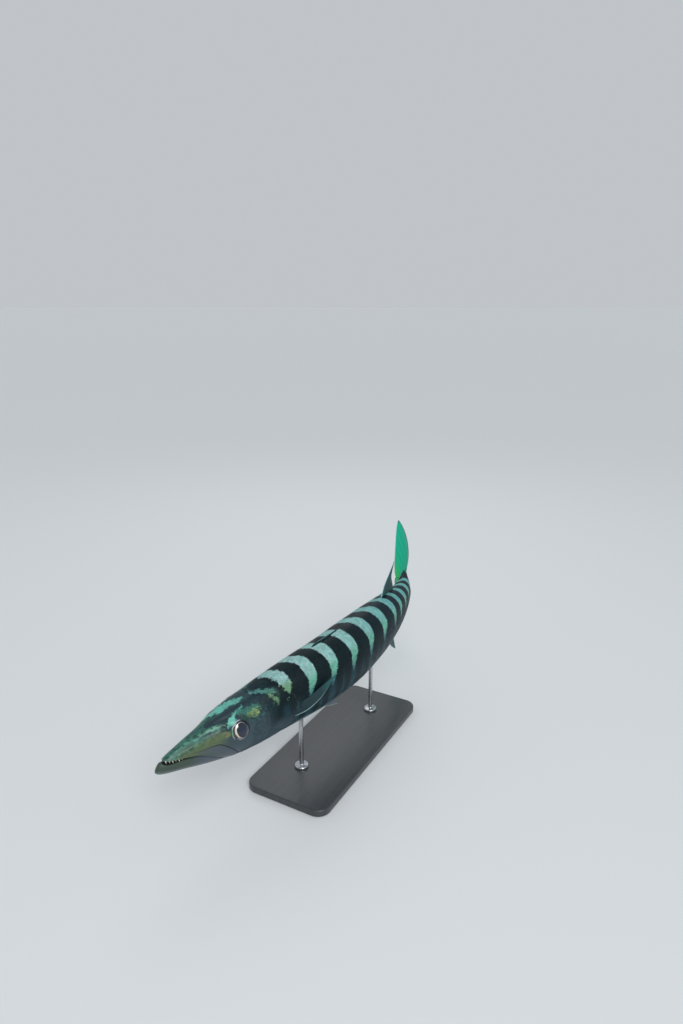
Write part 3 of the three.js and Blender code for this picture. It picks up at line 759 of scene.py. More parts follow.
def skinPaint():
    paint = Paint("skin")
    colour, seen = markings(paint)
    fine, grain, place = seen["fine"], seen["grain"], seen["place"]
    eyeAway = paint.attribute("eyeAway")
    ahead = (eye["along"] - seen["at"]) / eye["opening"]
    rise = (seen["up"] - eye["up"]) / eye["opening"]
    rim = 1 - (eyeAway + fine * 3 + rise * 0.8).within(*rimPaint["outer"])
    rim = eyeAway.within(*rimPaint["inner"]) * rim
    front = (ahead + fine * 0.4).within(-0.4, 0.1)
    ends = (abs(rise) + grain * 0.5).within(0.3, 0.6)
    colour = paint.mix(rim * (1 - front) * 0.7, colour, rimPaint["behind"])
    colour = paint.mix(rim * front * 0.85, colour, paint.mix(ends, rimPaint["front"], rimPaint["ends"]))
    pores = paint.noise(place, 1.1, 2) * 0.5 + paint.noise(place, 0.3, 2) + seen["streak"] * 0.8
    return paint.finish({
        "Base Color": colour, "Roughness": 0.36 + grain * 0.16 + seen["creaseAndShade"] * 0.4,
        "Normal": paint.bump(pores, 0.0004, 0.5),
        "Coat Weight": 0.1, "Coat Roughness": 0.22, "Specular IOR Level": 0.28,
    })


def scalePaint():
    paint = Paint("scale")
    colour, _ = markings(paint)
    tone = paint.attribute("tone")
    across, along, _ = paint.parts(paint.attribute("plate", out=1))
    edge = along.within(0.74, 1.0)
    colour = paint.mix(edge * 0.25, colour, scales["edgeTone"])
    shade = tone * 0.34 + 0.84
    colour = paint.node("ShaderNodeVectorMath", {"operation": "SCALE"}, {0: colour, "Scale": shade})
    rings = ((along * 9 + abs(across) * 3) * (2 * math.pi)).maths("SINE")
    return paint.finish({
        "Base Color": colour, "Roughness": 0.34 + tone * 0.16 + edge * 0.1,
        "Normal": paint.bump(rings, 0.00003, 0.35),
        "Coat Weight": 0.03, "Coat Roughness": 0.3, "Specular IOR Level": 0.16,
    })


# The skin: one mesh from the chin into the root of the tail fin
mouthGuide = [[14, 3.9], [24, -0.6], [38, -3], [50, -5], [75, -12.5], [90, -21], [108, -33], [119, -41],
              [130, -48], [150, -53.5]]
plateGuide = [[14, 4.6], [26, 4.8], [54, 0.2], [69, -2], [82, -3.1], [105, -4.3], [113, -6.4], [122, -13],
              [134, -25.5], [146, -39], [156, -50]]
coverEdges = {  # the rings follow the cheek plate and the gill slit, by share of the way to the belly
    "shares": [0, 0.25, 0.35, 0.42, 0.5, 0.56, 0.62, 0.7, 0.76, 0.83, 0.9, 1],
    "cheekEdge": [205, 205, 205, 206, 206, 205.5, 202, 193, 182, 160, 146, 140],
    "slit": [262, 252, 262, 268, 271, 270, 266, 253, 240, 220, 196, 180],
    "rings": [100, 205, 270, 340],  # where that starts, the rings that follow them, and where it ends
}


def skinGrid():
    tip = skin["tipRound"] * (1 - np.cos(np.linspace(0.08, np.pi / 2, skin["tipRings"])))
    head = np.linspace(skin["tipRound"], skin["headEnd"], skin["headRings"])[1:]
    trunk = np.linspace(skin["headEnd"], body["tailRoot"], skin["trunkRings"])[1:]
    past = np.linspace(0, np.pi / 2 - 0.1, skin["endRings"])[1:]
    end = body["tailRoot"] + skin["endRound"] * np.sin(past)
    rings = np.concatenate([tip, head, trunk, end])
    before = np.clip(1 - rings / skin["tipRound"], 0, 1)
    after = np.clip(rings - body["tailRoot"], 0, None) / skin["endRound"]
    radius = np.sqrt(1 - before**2) * np.sqrt(1 - after**2)
    turn = np.linspace(0, 2, skin["columns"], endpoint=False)
    side = np.where(turn <= 1, 1, -1)
    share = np.where(turn <= 1, turn, 2 - turn)
    at, share = np.meshgrid(rings, share, indexing="ij")
    side = np.broadcast_to(side, at.shape)

    def columnAngle(place):
        a, b = skin["plateColumn"], skin["mouthColumn"]
        guided = 1 - smooth(place, *skin["guidesEnd"])
        mouth = levelAngle(place, readTable(mouthGuide, 1, place)) * guided + b * np.pi * (1 - guided)
        plate = levelAngle(place, readTable(plateGuide, 1, place)) * guided + a * np.pi * (1 - guided)
        top = plate * share / a
        middle = plate + (mouth - plate) * (share - a) / (b - a)
        low = mouth + (np.pi - mouth) * (share - b) / (1 - b)
        return np.where(share < a, top, np.where(share < b, middle, low))

    turned = columnAngle(at) / np.pi
    start, cheekRing, slitRing, end = coverEdges["rings"]
    cheek = np.interp(turned, coverEdges["shares"], coverEdges["cheekEdge"])
    slit = np.interp(turned, coverEdges["shares"], coverEdges["slit"])
    place = at
    knots = [(start, start), (cheekRing, cheek), (slitRing, slit), (end, end)]
    for (ring0, place0), (ring1, place1) in zip(knots, knots[1:]):
        moved = place0 + (at - ring0) * (place1 - place0) / (ring1 - ring0)
        place = np.where((at > ring0) & (at <= ring1), moved, place)
    angle = columnAngle(place)

    # Vertices near the eye are drawn to its rim
    up = sectionPoint(place, angle)[..., 2]
    away = np.maximum(eyeDistance(place, up), 1e-6)
    gap = away - eye["opening"]
    near = (np.abs(gap) < eye["warp"]) & (np.abs(place - eye["along"]) < eye["warpNear"])
    pulled = np.where(near, (eye["opening"] + gap * np.abs(gap) / eye["warp"]) / away, 1)
    place = eye["along"] + (place - eye["along"]) * pulled
    level = eye["up"] + (up - eye["up"]) * pulled
    angle = np.where(near, levelAngle(place, level), angle)
    return place, angle * side, np.broadcast_to(radius[:, None], place.shape)


def headLines(at, up):
    signed = []
    for name in ("mouth", "jawPlate"):
        away, side, _ = lineField(headFolds[name]["line"], at, up, 40)
        signed.append(np.where(at < 170, side * away, 30))
    back = smooth(at, *skin["cornerOfMouth"])  # behind it there is no lower jaw
    signed[0] = signed[0] * (1 - back) + 30 * back
    return signed


def makeSkin():
    at, angle, radius = skinGrid()
    plain = sectionPoint(at, angle, radius)
    rise, dark = relief(at, angle)
    rounded = radius < 0.999
    normal = surfaceNormal(np.clip(at, 2, body["tailRoot"]), angle)
    lift = np.where(rounded, rise * radius**2, rise) - skin["inset"] * radius
    straight = plain + normal * lift[..., None]
    mouthSide, plateSide = headLines(at, plain[..., 2])
    ring = np.degrees(np.where(angle > np.pi, angle - 2 * np.pi, angle))
    # The head lines attribute carries, as its third part, the shade painted into the grooves and the gaps.
    attributes = {
        "restPlace": plain, "restRing": ring, "headLinesAndShade": np.stack([mouthSide, plateSide, dark], -1),
        "eyeAway": np.where(np.abs(at - eye["along"]) < 40, eyeDistance(at, plain[..., 2]), 99),
    }
    piece = loft("skin", bend(straight), **attributes)
    spots = unwrap(at, angle).reshape(-1, 2)
    addBakeMap(piece, np.concatenate([spots, [[cap, 0.5] for cap in unrolled["caps"]]]))
    piece.data.materials.append(skinPaint())
    return piece


skinPiece = makeSkin()
print("skin made", len(skinPiece.data.polygons))


# Scales: Geometry Nodes set a small plate on each root, and each piece they make is one joined mesh
scales = {
    "around": 62, "longer": 1.75, "wider": 1.28, "lift": 0.5, "crown": 0.16,
    "aspect": 0.8,  # a scale's step along the body as a share of its step round it
    "patch": 0.003, "pieces": 4, "seed": 11, "edgeTone": tint(6, 22, 28),
    "plateRows": [0, 0.3, 0.6, 0.82, 0.95], "plateWidths": [0.62, 0.96, 1, 0.78, 0.42], "plateColumns": 5,
    "plateFoot": -0.35, "plateRise": 1.35, "plateLip": 0.12, "plateBow": 0.05,
    "start": 186.0, "young": 0.72, "youngEnd": (200, 300),  # scales are smaller behind the head
    "frontShares": [0, 0.12, 0.2, 0.27, 0.33, 0.4, 0.5, 0.6, 0.7, 0.8, 0.9, 1],
    "front": [192, 198, 214, 244, 262, 269, 273, 270, 256, 232, 206, 192],
    # the cheek's and the gill cover's: their step, where they lie, and how far they keep from the
    # eye, the slit and the cheek plate's edge
    "cheekStep": 3.7, "cheekAlong": (172, 270), "cheekUp": (-44, 34), "cheekTop": 0.24,
    "fromEye": 27, "fromSlit": 5, "fromEdge": (-4, 2),
    "wander": 0.05, "liftDraw": 0.25, "lineLift": 0.5, "lineFrom": 265, "flatEnd": (230, 290), "flat": 0.6,
}


def makePlate():
    rows, columns = scales["plateRows"], np.linspace(-1, 1, scales["plateColumns"])
    across, count = len(columns), len(rows)
    points = []
    for v, w in zip(rows, scales["plateWidths"]):
        for c in columns:
            crown = (1 - c * c) * scales["crown"] / scales["lift"]
            height = scales["plateFoot"] + scales["plateRise"] * v - scales["plateLip"] * (v > 0.9)
            bow = scales["plateBow"] * (1 - c * c) * (v > 0.5)
            points.append((c * w / 2, v + bow, height + crown * min(v * 3, 1)))
    faces = [[a, a + 1, a + across + 1, a + across]
             for i in range(count - 1) for a in range(i * across, (i + 1) * across - 1)]
    rim = [i * across for i in range(count - 1)] + list(range((count - 1) * across, count * across))
    rim += [(i + 1) * across - 1 for i in range(count - 2, -1, -1)] + list(range(across - 2, 0, -1))
    faces.append(rim)
    piece = makePiece("plate", points, faces, plate=np.array(points))
    sharp = {tuple(sorted(pair)) for pair in zip(rim, rim[1:] + rim[:1])}
    flags = [tuple(sorted(edge.vertices)) in sharp for edge in piece.data.edges]
    piece.data.attributes.new("sharp_edge", "BOOLEAN", "EDGE").data.foreach_set("value", flags)
    return piece


def evenAngles(at, count, shift):  # equal steps round the section at one place
    turn = np.linspace(0, 2 * np.pi, 361)
    ring = sectionPoint(at, turn)
    length = np.concatenate([[0], np.cumsum(np.linalg.norm(np.diff(ring, axis=0), axis=1))])
    wanted = (np.arange(count) + shift) / count * length[-1]
    return np.interp(wanted, length, turn), length[-1] / count


def trunkRoots():
    at, row, found = scales["start"], 0, []
    while at < body["tailRoot"] + 4:
        angle, step = evenAngles(at, scales["around"], 0.5 * (row % 2))
        turned = np.minimum(angle, 2 * np.pi - angle) / np.pi
        keep = at > np.interp(turned, scales["frontShares"], scales["front"])
        step *= scales["young"] + (1 - scales["young"]) * smooth(at, *scales["youngEnd"])
        found += [(at, a, step, step * scales["aspect"]) for a in angle[keep]]
        at += step * scales["aspect"]
        row += 1
    return found


def coverRoots():  # small scales on the cheek and the gill cover
    step, found = scales["cheekStep"], []
    low, high = scales["fromEdge"]
    for row, at in enumerate(np.arange(*scales["cheekAlong"], step * scales["aspect"])):
        up = np.arange(*scales["cheekUp"], step) + 0.5 * step * (row % 2)
        angle = levelAngle(at, up)
        turned = angle / np.pi
        edge = np.interp(turned, coverEdges["shares"], coverEdges["cheekEdge"])
        slit = np.interp(turned, coverEdges["shares"], coverEdges["slit"])
        keep = (eyeDistance(at, up) > scales["fromEye"]) & (at < slit - scales["fromSlit"])
        keep &= ~((at > edge + low) & (at < edge + high)) & (turned > scales["cheekTop"])
        found += [(at, side * a, step, step * scales["aspect"]) for a in angle[keep] for side in (-1, 1)]
    return found


def scaleTree(paint):
    tree = bpy.data.node_groups.new("scales", "GeometryNodeTree")
    kinds = {"Roots": "Geometry", "Plate": "Object", "Longer": "Float", "Wider": "Float", "Lift": "Float",
             "Patch": "Float"}
    for name, kind in kinds.items():
        tree.interface.new_socket(name, in_out="INPUT", socket_type=f"NodeSocket{kind}")
    tree.interface.new_socket("Scales", in_out="OUTPUT", socket_type="NodeSocketGeometry")
    given = tree.nodes.new("NodeGroupInput").outputs

    def node(kind, settings, values):
        return addNode(tree, kind, settings, values).outputs

    def named(name):
        settings = {"data_type": "FLOAT_VECTOR"}
        return node("GeometryNodeInputNamedAttribute", settings, {"Name": name})["Attribute"]

    def vector(operation, first, second):
        return node("ShaderNodeVectorMath", {"operation": operation}, {0: first, 1: second})[0]

    def scaled(first, factor):
        return node("ShaderNodeVectorMath", {"operation": "SCALE"}, {0: first, "Scale": factor})[0]

    turn = node("FunctionNodeAxesToRotation", {"primary_axis": "Z", "secondary_axis": "Y"},
                {"Primary Axis": named("out"), "Secondary Axis": named("lie")})[0]
    sizes = node("ShaderNodeCombineXYZ", {}, {0: given["Wider"], 1: given["Longer"], 2: given["Lift"]})[0]
    sizes = vector("MULTIPLY", named("steps"), sizes)
    shape = node("GeometryNodeObjectInfo", {}, {"Object": given["Plate"]})["Geometry"]
    metres = scaled(sizes, 0.001)
    laid = node("GeometryNodeInstanceOnPoints", {},
                {"Points": given["Roots"], "Instance": shape, "Rotation": turn, "Scale": metres})[0]
    joined = node("GeometryNodeRealizeInstances", {}, {"Geometry": laid})[0]
    local = node("ShaderNodeSeparateXYZ", {}, {0: named("plate")})
    grown = node("ShaderNodeSeparateXYZ", {}, {0: vector("MULTIPLY", named("plate"), sizes)})
    rest = vector("ADD", named("restRoot"), scaled(named("restAcross"), grown[0]))
    rest = vector("ADD", rest, scaled(named("restAlong"), grown[1]))
    spot = node("ShaderNodeCombineXYZ", {}, {0: local[1], 1: local[0]})[0]
    spot = vector("ADD", named("rootSpot"), scaled(spot, given["Patch"]))
    for name, kind, domain, value in (("restPlace", "FLOAT_VECTOR", "POINT", rest),
                                      ("OFBake", "FLOAT2", "CORNER", spot)):
        joined = node("GeometryNodeStoreNamedAttribute", {"data_type": kind, "domain": domain},
                      {"Geometry": joined, "Name": name, "Value": value})[0]
    joined = node("GeometryNodeSetMaterial", {}, {"Geometry": joined, "Material": paint})[0]
    tree.links.new(joined, tree.nodes.new("NodeGroupOutput").inputs[0])
    sockets = {item.name: item.identifier for item in tree.interface.items_tree if item.in_out == "INPUT"}
    return tree, sockets


def makeScales():
    roots = np.array(sorted(trunkRoots() + coverRoots()))
    at, angle, wide, long = roots.T
    angle = np.where(angle > np.pi, angle - 2 * np.pi, angle)
    draw = np.random.default_rng(scales["seed"])
    at = at + draw.normal(0, scales["wander"], len(at)) * long
    straight = skinPoint(at, angle)
    ahead, behind = sectionPoint(at - 1, angle), sectionPoint(at + 1, angle)
    along = (behind - ahead) / np.linalg.norm(behind - ahead, axis=1, keepdims=True)
    normal = surfaceNormal(at, angle)
    across = np.cross(along, normal)
    _, backAxis, rightAxis, upAxis = spineAt(at)

    def turned(v):
        return backAxis * v[:, :1] + rightAxis * v[:, 1:2] + upAxis * v[:, 2:]

    plainUp = sectionPoint(at, angle)[:, 2]
    level = readTable(skin["lateralLine"], 1, at)
    onLine = (np.abs(plainUp - level) < wide / 2) * (at > scales["lineFrom"])
    lifts = 1 + scales["liftDraw"] * draw.random(len(at)) + scales["lineLift"] * onLine
    lifts *= scales["flat"] + (1 - scales["flat"]) * smooth(at, *scales["flatEnd"])
    mouthSide, plateSide = headLines(at, plainUp)
    fields = {
        "lie": turned(along), "out": turned(normal), "steps": np.stack([wide, long, lifts], 1),
        "restRoot": sectionPoint(at, angle), "restAcross": across, "restAlong": along,
        "restRing": np.degrees(angle), "tone": draw.random(len(at)),
        "headLinesAndShade": np.stack([mouthSide, plateSide, np.zeros(len(at))], 1),
        "rootSpot": np.column_stack([unwrap(at, angle) * (1, unrolled["around"]), np.zeros(len(at))]),
    }
    places = bend(straight)
    plate = makePlate()
    tree, sockets = scaleTree(scalePaint())
    made = []
    for k, part in enumerate(np.array_split(np.arange(len(at)), scales["pieces"])):
        holder = makePiece(f"roots_{k + 1}", places[part], [], **{key: f[part] for key, f in fields.items()})
        modifier = holder.modifiers.new("scales", "NODES")
        modifier.node_group = tree
        modifier[sockets["Plate"]] = plate
        for name in ("Longer", "Wider", "Lift", "Patch"):
            modifier[sockets[name]] = scales[name.lower()]
        evaluated = holder.evaluated_get(bpy.context.evaluated_depsgraph_get())
        mesh = bpy.data.meshes.new_from_object(evaluated)
        piece = bpy.data.objects.new(f"scales_{k + 1}", mesh)
        bpy.context.scene.collection.objects.link(piece)
        holder.modifiers.remove(modifier)
        bpy.data.objects.remove(holder)
        made.append(piece)
    bpy.data.objects.remove(plate)
    return made


scalePieces = makeScales()
print("scales made", [len(piece.data.polygons) for piece in scalePieces])


# Fins: plates with raised rays, laid between a leading and a trailing edge
finShapes = {
    "dorsal_fin_first": {
        "kind": "folded", "rays": 5, "ridge": 0.9, "fan": 0.3,
        "lead": [[356, 58], [362, 66.2], [374, 68.8]], "trail": [[440, 60], [440, 66.8], [438, 67.8]],
    },
    "dorsal_fin_second": {
        "kind": "upright", "rays": 10, "ridge": 0.5, "fan": 0.8,
        "lead": [[628, 48], [652, 76], [688, 95], [724, 111]],
        "trail": [[716, 34], [708, 62], [703, 83], [724, 110]],
    },
    "anal_fin": {
        "kind": "upright", "rays": 10, "ridge": 0.5, "fan": 0.8,
        "lead": [[650, -46], [670, -72], [694, -98], [724, -118]],
        "trail": [[718, -34], [710, -58], [712, -82], [724, -117]],
    },
    "pectoral_fin": {
        "kind": "pectoral", "rays": 13, "ridge": 0.45, "fan": 0.7,
        "lead": [[0, 8], [30, 15], [62, 27], [92, 37]], "trail": [[0, -13], [26, -11], [58, 4], [92, 34]],
    },
    "pelvic_fin": {
        "kind": "pelvic", "rays": 6, "ridge": 0.4, "fan": 0.6,
        "lead": [[0, 0], [18, 5], [38, 9], [60, 10]], "trail": [[14, -6], [24, -11], [42, -8], [60, 8]],
    },
    "tail_fin": {
        "kind": "tail", "rays": 10, "ridge": 0.6, "fan": 0.75,
        "lead": [[864, 32], [890, 56], [932, 96], [1000, 130]],
        "trail": [[864, 0], [906, 0], [942, 44], [1000, 128]],
    },
}
finSides = {
    "tail": {"_upper": 1, "_lower": -1},
    "pectoral": {"_left": -1, "_right": 1}, "pelvic": {"_left": -1, "_right": 1},
}
fin = {
    "rings": 84, "points": 96,
    # thickness at the edges and the roots, and what a folded or a tail fin loses or gains
    "edge": 0.8, "root": {"upright": 3.8, "pectoral": 3.8, "pelvic": 3.2, "folded": 3.8},
    "foldedThins": 2.3, "tailEdge": 0.9, "tailRoot": 14.6, "tailMiddle": 1.5,
    # along, away from the middle and up, then how it turns out or drops as it goes back
    "pectoralRoot": (268, 44, -10), "pectoralSwing": 15, "pectoralBow": 0.0006,
    "pelvicRoot": (338, 10, -56), "pelvicOut": 0.06, "pelvicDrop": 0.28, "pelvicTilt": 0.25,
    "tailGap": 0.15, "tailCup": 37,
    "cupLead": 0.33,  # the leading edge bows this share of the cup to the left
    "fork": (0.35, 0.6), "wave": 0.7, "ragged": 0.010,
}


def finThickness(kind, u, v):
    if kind == "folded":
        return fin["root"][kind] - fin["foldedThins"] * u
    if kind == "tail":
        root = fin["tailRoot"] * np.clip(1 - u * 4, 0, None) ** 2
        return fin["tailEdge"] + root + fin["tailMiddle"] * (1 - u) * (1 - v)
    return fin["edge"] + (fin["root"][kind] - fin["edge"]) * (1 - u) ** 2 * (1 - 0.5 * v)


def placeFin(kind, side, x, y, off, u, v):
    if kind == "pectoral":
        swing = math.radians(fin["pectoralSwing"])
        along, out, up = fin["pectoralRoot"]
        out = out + x * math.sin(swing) - fin["pectoralBow"] * x * x + off
        return np.stack([along + x * math.cos(swing), side * out, y + up], -1)
    if kind == "pelvic":
        along, out, up = fin["pelvicRoot"]
        out = out + y + fin["pelvicOut"] * x
        up = up - x * fin["pelvicDrop"] - y * fin["pelvicTilt"] + off
        return np.stack([along + x, side * out, up], -1)
    if kind == "tail":
        cup = fin["tailCup"] * np.sin(np.pi * np.clip(u, 0, 1)) ** 0.8
        across = cup * (np.clip(v, 0, 1) ** 1.3 - fin["cupLead"])
        return np.stack([x, across + side * off, side * (y + fin["tailGap"])], -1)
    return np.stack([x, off, y], -1)


def makeFin(name, shape, side):
    kind = shape["kind"]
    u = np.linspace(0, 1, fin["rings"])[:, None] ** 0.9
    turn = roundAngles(2 * fin["points"])[None, :]
    v = 0.5 - 0.5 * np.cos(turn)
    v = 0.35 * v + 0.65 * np.where(turn <= np.pi, turn / np.pi, 2 - turn / np.pi)
    face = np.sign(np.sin(turn)) * np.abs(np.sin(turn)) ** 0.45
    u, v, face = np.broadcast_arrays(u, v, face)
    ray = v * (1 - u * 0.999) ** shape["fan"] * shape["rays"]
    if kind == "folded":
        ray = (v - u * 0.35) * shape["rays"]
    fork = smooth(u, *fin["fork"])
    ridges = (1 - fork) * np.cos(2 * np.pi * ray) + fork * np.cos(4 * np.pi * ray) * 0.6
    clear = between(u, (0.02, 0.15), (0.88, 1)) * np.abs(np.sin(turn)) ** 0.5
    thick = finThickness(kind, u, v) + shape["ridge"] * ridges * clear
    ragged = fin["ragged"] * np.cos(2 * np.pi * ray) * smooth(v, 0.85, 1) * (1 - u) * smooth(u, 0.1, 0.3)
    lead = curveThrough(shape["lead"], u)
    trail = curveThrough(shape["trail"], u)
    flat = lead + (trail - lead) * (v - ragged)[..., None]
    wave = 0.0 if kind in ("folded", "tail") else fin["wave"] * np.sin(v * 7 + u * 3) * u * v
    straight = placeFin(kind, side, flat[..., 0], flat[..., 1], thick * face / 2 + wave, u, v)
    return loft(name, bend(straight), finPlace=np.stack([u, v, ray], -1), restPlace=straight)


def finPaint(name, tones):
    paint = Paint(name)
    u, v, ray = paint.parts(paint.attribute("finPlace", out=1))
    place = paint.attribute("restPlace", out=1)
    broad = paint.noise(place, 0.05, 3) - 0.5
    grain = paint.noise(place, 0.5, 3) - 0.5
    stripe = (ray * (2 * math.pi)).maths("COSINE") * 0.5 + 0.5
    colour = paint.mix((u + broad * 0.5).within(*tones["spread"]), tones["root"], tones["sheet"])
    colour = paint.mix(stripe * tones["rayShow"] * (1 - u.within(0.75, 1) * 0.6), colour, tones["ray"])
    for edge, fade, edgeTone, *run in tones["lines"]:
        near, far = run or wholeEdge
        source = {"lead": v, "trail": 1 - v, "tip": 1 - u}[edge] + broad * 0.04 + grain * 0.02
        shown = u.within(near - 0.1, near) * (1 - u.within(far - 0.4, far))
        colour = paint.mix((1 - source.within(*fade)) * shown, colour, edgeTone)
    colour = paint.mix((grain + 0.5).within(0.55, 0.8) * 0.3, colour, tones["fleck"])
    height = stripe * 0.6 + grain * 0.5 + (ray * (8 * math.pi)).maths("SINE") * 0.15
    return paint.finish({
        "Base Color": colour, "Roughness": 0.42 + grain * 0.2, "Normal": paint.bump(height, 0.0004, 0.6),
        "Coat Weight": 0.04, "Coat Roughness": 0.3, "Specular IOR Level": 0.2,
    })


# A line along an edge has the shares of the fin where it fades and its colour, and then where on
# the way to the tip it starts and ends, unless it runs along the whole edge.
wholeEdge = (0, 1.4)
finTones = {
    "dusky": {
        "root": tint(10, 36, 40), "sheet": tint(14, 54, 56), "ray": tint(30, 84, 80),
        "fleck": tint(6, 30, 36), "spread": (0.1, 0.6), "rayShow": 0.5,
        "lines": [("lead", (0.12, 0.26), tint(20, 84, 80)), ("lead", (0.07, 0.12), tint(8, 32, 38)),
                  ("lead", (0.03, 0.06), tint(150, 200, 206))],
    },
    "folded": {
        "root": tint(6, 24, 30), "sheet": tint(10, 34, 40), "ray": tint(48, 84, 88),
        "fleck": tint(4, 18, 22), "spread": (0.1, 0.8), "rayShow": 0.45,
        "lines": [("tip", (0.02, 0.12), tint(86, 128, 130))],
    },
    "pectoral": {
        "root": tint(20, 40, 46), "sheet": tint(26, 50, 56), "ray": tint(52, 80, 84),
        "fleck": tint(12, 28, 34), "spread": (0.1, 0.6), "rayShow": 0.45,
        "lines": [("tip", (0.05, 0.4), tint(40, 96, 98)), ("trail", (0.04, 0.09), tint(150, 186, 184))],
    },
    "pelvic": {
        "root": tint(84, 100, 108), "sheet": tint(104, 122, 128), "ray": tint(136, 152, 156),
        "fleck": tint(66, 84, 90), "spread": (0.1, 0.6), "rayShow": 0.5,
        "lines": [("lead", (0.03, 0.1), tint(160, 178, 180))],
    },
    "tail": {
        "root": tint(8, 84, 74), "sheet": tint(10, 176, 138), "ray": tint(28, 196, 158),
        "fleck": tint(4, 148, 116), "spread": (0.02, 0.2), "rayShow": 0.5,
        "lines": [("trail", (0.02, 0.42), tint(44, 196, 96), 0, 0.75),
                  ("trail", (0.02, 0.045), tint(186, 196, 214), 0.5, 1.4),
                  ("lead", (0.1, 0.17), tint(90, 190, 176), 0, 1.2),
                  ("lead", (0.05, 0.09), tint(4, 120, 100), 0, 1.2), ("tip", (0.01, 0.06), tint(6, 50, 50))],
    },
}


def makeFins():
    paints = {name: finPaint(f"fin_{name}", tones) for name, tones in finTones.items()}
    made = []
    for name, shape in finShapes.items():
        kind = shape["kind"]
        for ending, side in finSides.get(kind, {"": 1}).items():
            piece = makeFin(f"looks_{name}{ending}", shape, side)
            piece.data.materials.append(paints["dusky" if kind == "upright" else kind])
            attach(piece, "root")
            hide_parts(name + ending)
            "tail_fin" if kind == "tail" else "fin"
            made.append(piece)
    return made


print("fins made", len(makeFins()))


# Eyes: flattened balls, sunk behind the rim of the skin
eyeTones = {
    "pupil": tint(6, 26, 58), "pupilEdge": tint(5, 13, 30),
    # The silver ring's light colour is a painted highlight for its front and top, and its orange a painted
    # glint lower down.
    "ring": tint(66, 92, 116), "ringHighlight": tint(216, 214, 200), "ringGlint": tint(178, 118, 76),
    "iris": tint(16, 20, 30), "irisStreak": tint(58, 54, 52), "rim": tint(8, 12, 16),
    "gleam": tint(132, 152, 174),
}


def eyePaint():
    paint = Paint("eye")
    place = paint.attribute("restPlace", out=1)
    away, ahead, up = paint.parts(paint.attribute("eyePlace", out=1))
    mottle = paint.noise(place, 0.35, 3) - 0.5
    streaks = paint.noise(paint.stretched(place, (1.4, 1.4, 0.2)), 0.5, 3) - 0.5
    fromPupil = (((ahead + eye["pupilBack"]) / eye["pupilNarrow"]) ** 2 + up ** 2) ** 0.5
    colour = paint.mix(fromPupil.within(0.1, 0.6), eyeTones["pupil"], eyeTones["pupilEdge"])
    # Painted highlight: the silver ring turns light at the front and the top, and takes a painted orange
    # glint lower down.
    front = (ahead + up * 0.5 + mottle * 0.5).within(-0.4, 0.2)
    silver = paint.mix(front, eyeTones["ring"], eyeTones["ringHighlight"])
    silver = paint.mix((mottle - up * 0.3 + 0.5).within(0.5, 0.75) * 0.7, silver, eyeTones["ringGlint"])
    iris = paint.mix((streaks + 0.5).within(0.35, 0.7), eyeTones["iris"], eyeTones["irisStreak"])
    ring = fromPupil.within(eye["pupil"] - 0.015, eye["pupil"] + 0.015)
    beyond = (away + mottle * 0.05).within(eye["ring"] - 0.03, eye["ring"] + 0.03)
    colour = paint.mix(beyond, paint.mix(ring, colour, silver), iris)
    edge = eye["iris"]
    outer = away.within(edge - 0.09, edge - 0.05) * (1 - away.within(edge - 0.01, edge + 0.03))
    outer = outer * (-up - ahead * 0.6 + mottle * 0.6).within(0.05, 0.5)
    colour = paint.mix(away.within(edge - 0.02, edge + 0.03), colour, eyeTones["rim"])
    colour = paint.mix(outer * 0.8, colour, eyeTones["gleam"])
    shine = ring * (1 - beyond)
    return paint.finish({
        "Base Color": colour, "Metallic": shine * 0.35, "Roughness": shine * 0.16 + 0.12,
        "Coat Weight": 0.8, "Coat Roughness": 0.04, "Specular IOR Level": 0.4,
    })


def makeEye(name, side, paint):
    angle = side * levelAngle(eye["along"], eye["up"])
    out = np.array([-math.tan(math.radians(eye["lookAhead"])), side, math.tan(math.radians(eye["lookUp"]))])
    out /= np.linalg.norm(out)
    level = np.cross(out, (0, 0, 1))
    level /= np.linalg.norm(level)
    upright = np.cross(level, out)
    centre = sectionPoint(eye["along"], angle) - out * eye["inset"]
    front = np.linspace(0.015, np.pi / 2, eye["frontRings"])
    back = np.linspace(np.pi / 2, np.pi - 0.05, eye["backRings"])[1:]
    lean = np.concatenate([front, back])[:, None]
    turn = roundAngles(eye["sides"])[None, :]
    away = np.sin(lean) + 0 * turn
    groove = eye["grooveDepth"] * bell(away - eye["groove"], eye["grooveWidth"]) * (lean < np.pi / 2)
    x, y = away * np.cos(turn), away * np.sin(turn)
    reach = np.cos(lean) * eye["depth"] - groove
    points = centre + level * (x * eye["radius"] * eye["narrow"])[..., None]
    points += upright * (y * eye["radius"])[..., None] + out * reach[..., None]
    shown = np.where(lean < np.pi / 2, away, 2 - away)
    piece = loft(name, bend(points), restPlace=points, eyePlace=np.stack([shown, -side * x, y], -1))
    piece.data.materials.append(paint)
    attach(piece, "root")
    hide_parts(name.replace("looks_", ""))


eyeMaterial = eyePaint()
makeEye("looks_eye_left", -1, eyeMaterial)
makeEye("looks_eye_right", 1, eyeMaterial)
print("eyes made")


# Teeth: slim hooked cones under the lip of the upper jaw
teeth = {
    "first": 19, "step": 5.2, "sizes": [1, 0.7, 0.9, 0.6, 1, 0.6], "length": 5, "radius": 1.15,
    "point": 0.02, "lip": 1.1, "root": 2.2, "sunk": 1.8, "inset": 1.2, "hook": 0.9, "rings": 9, "sides": 12,
    "ivory": tint(236, 232, 214), "stain": tint(214, 206, 180),
}


def teethPaint():
    paint = Paint("tooth")
    colour = paint.mix(paint.noise(paint.own(), 400, 2), teeth["ivory"], teeth["stain"])
    return paint.finish({"Base Color": colour, "Roughness": 0.22, "Coat Weight": 0.5, "Coat Roughness": 0.1})


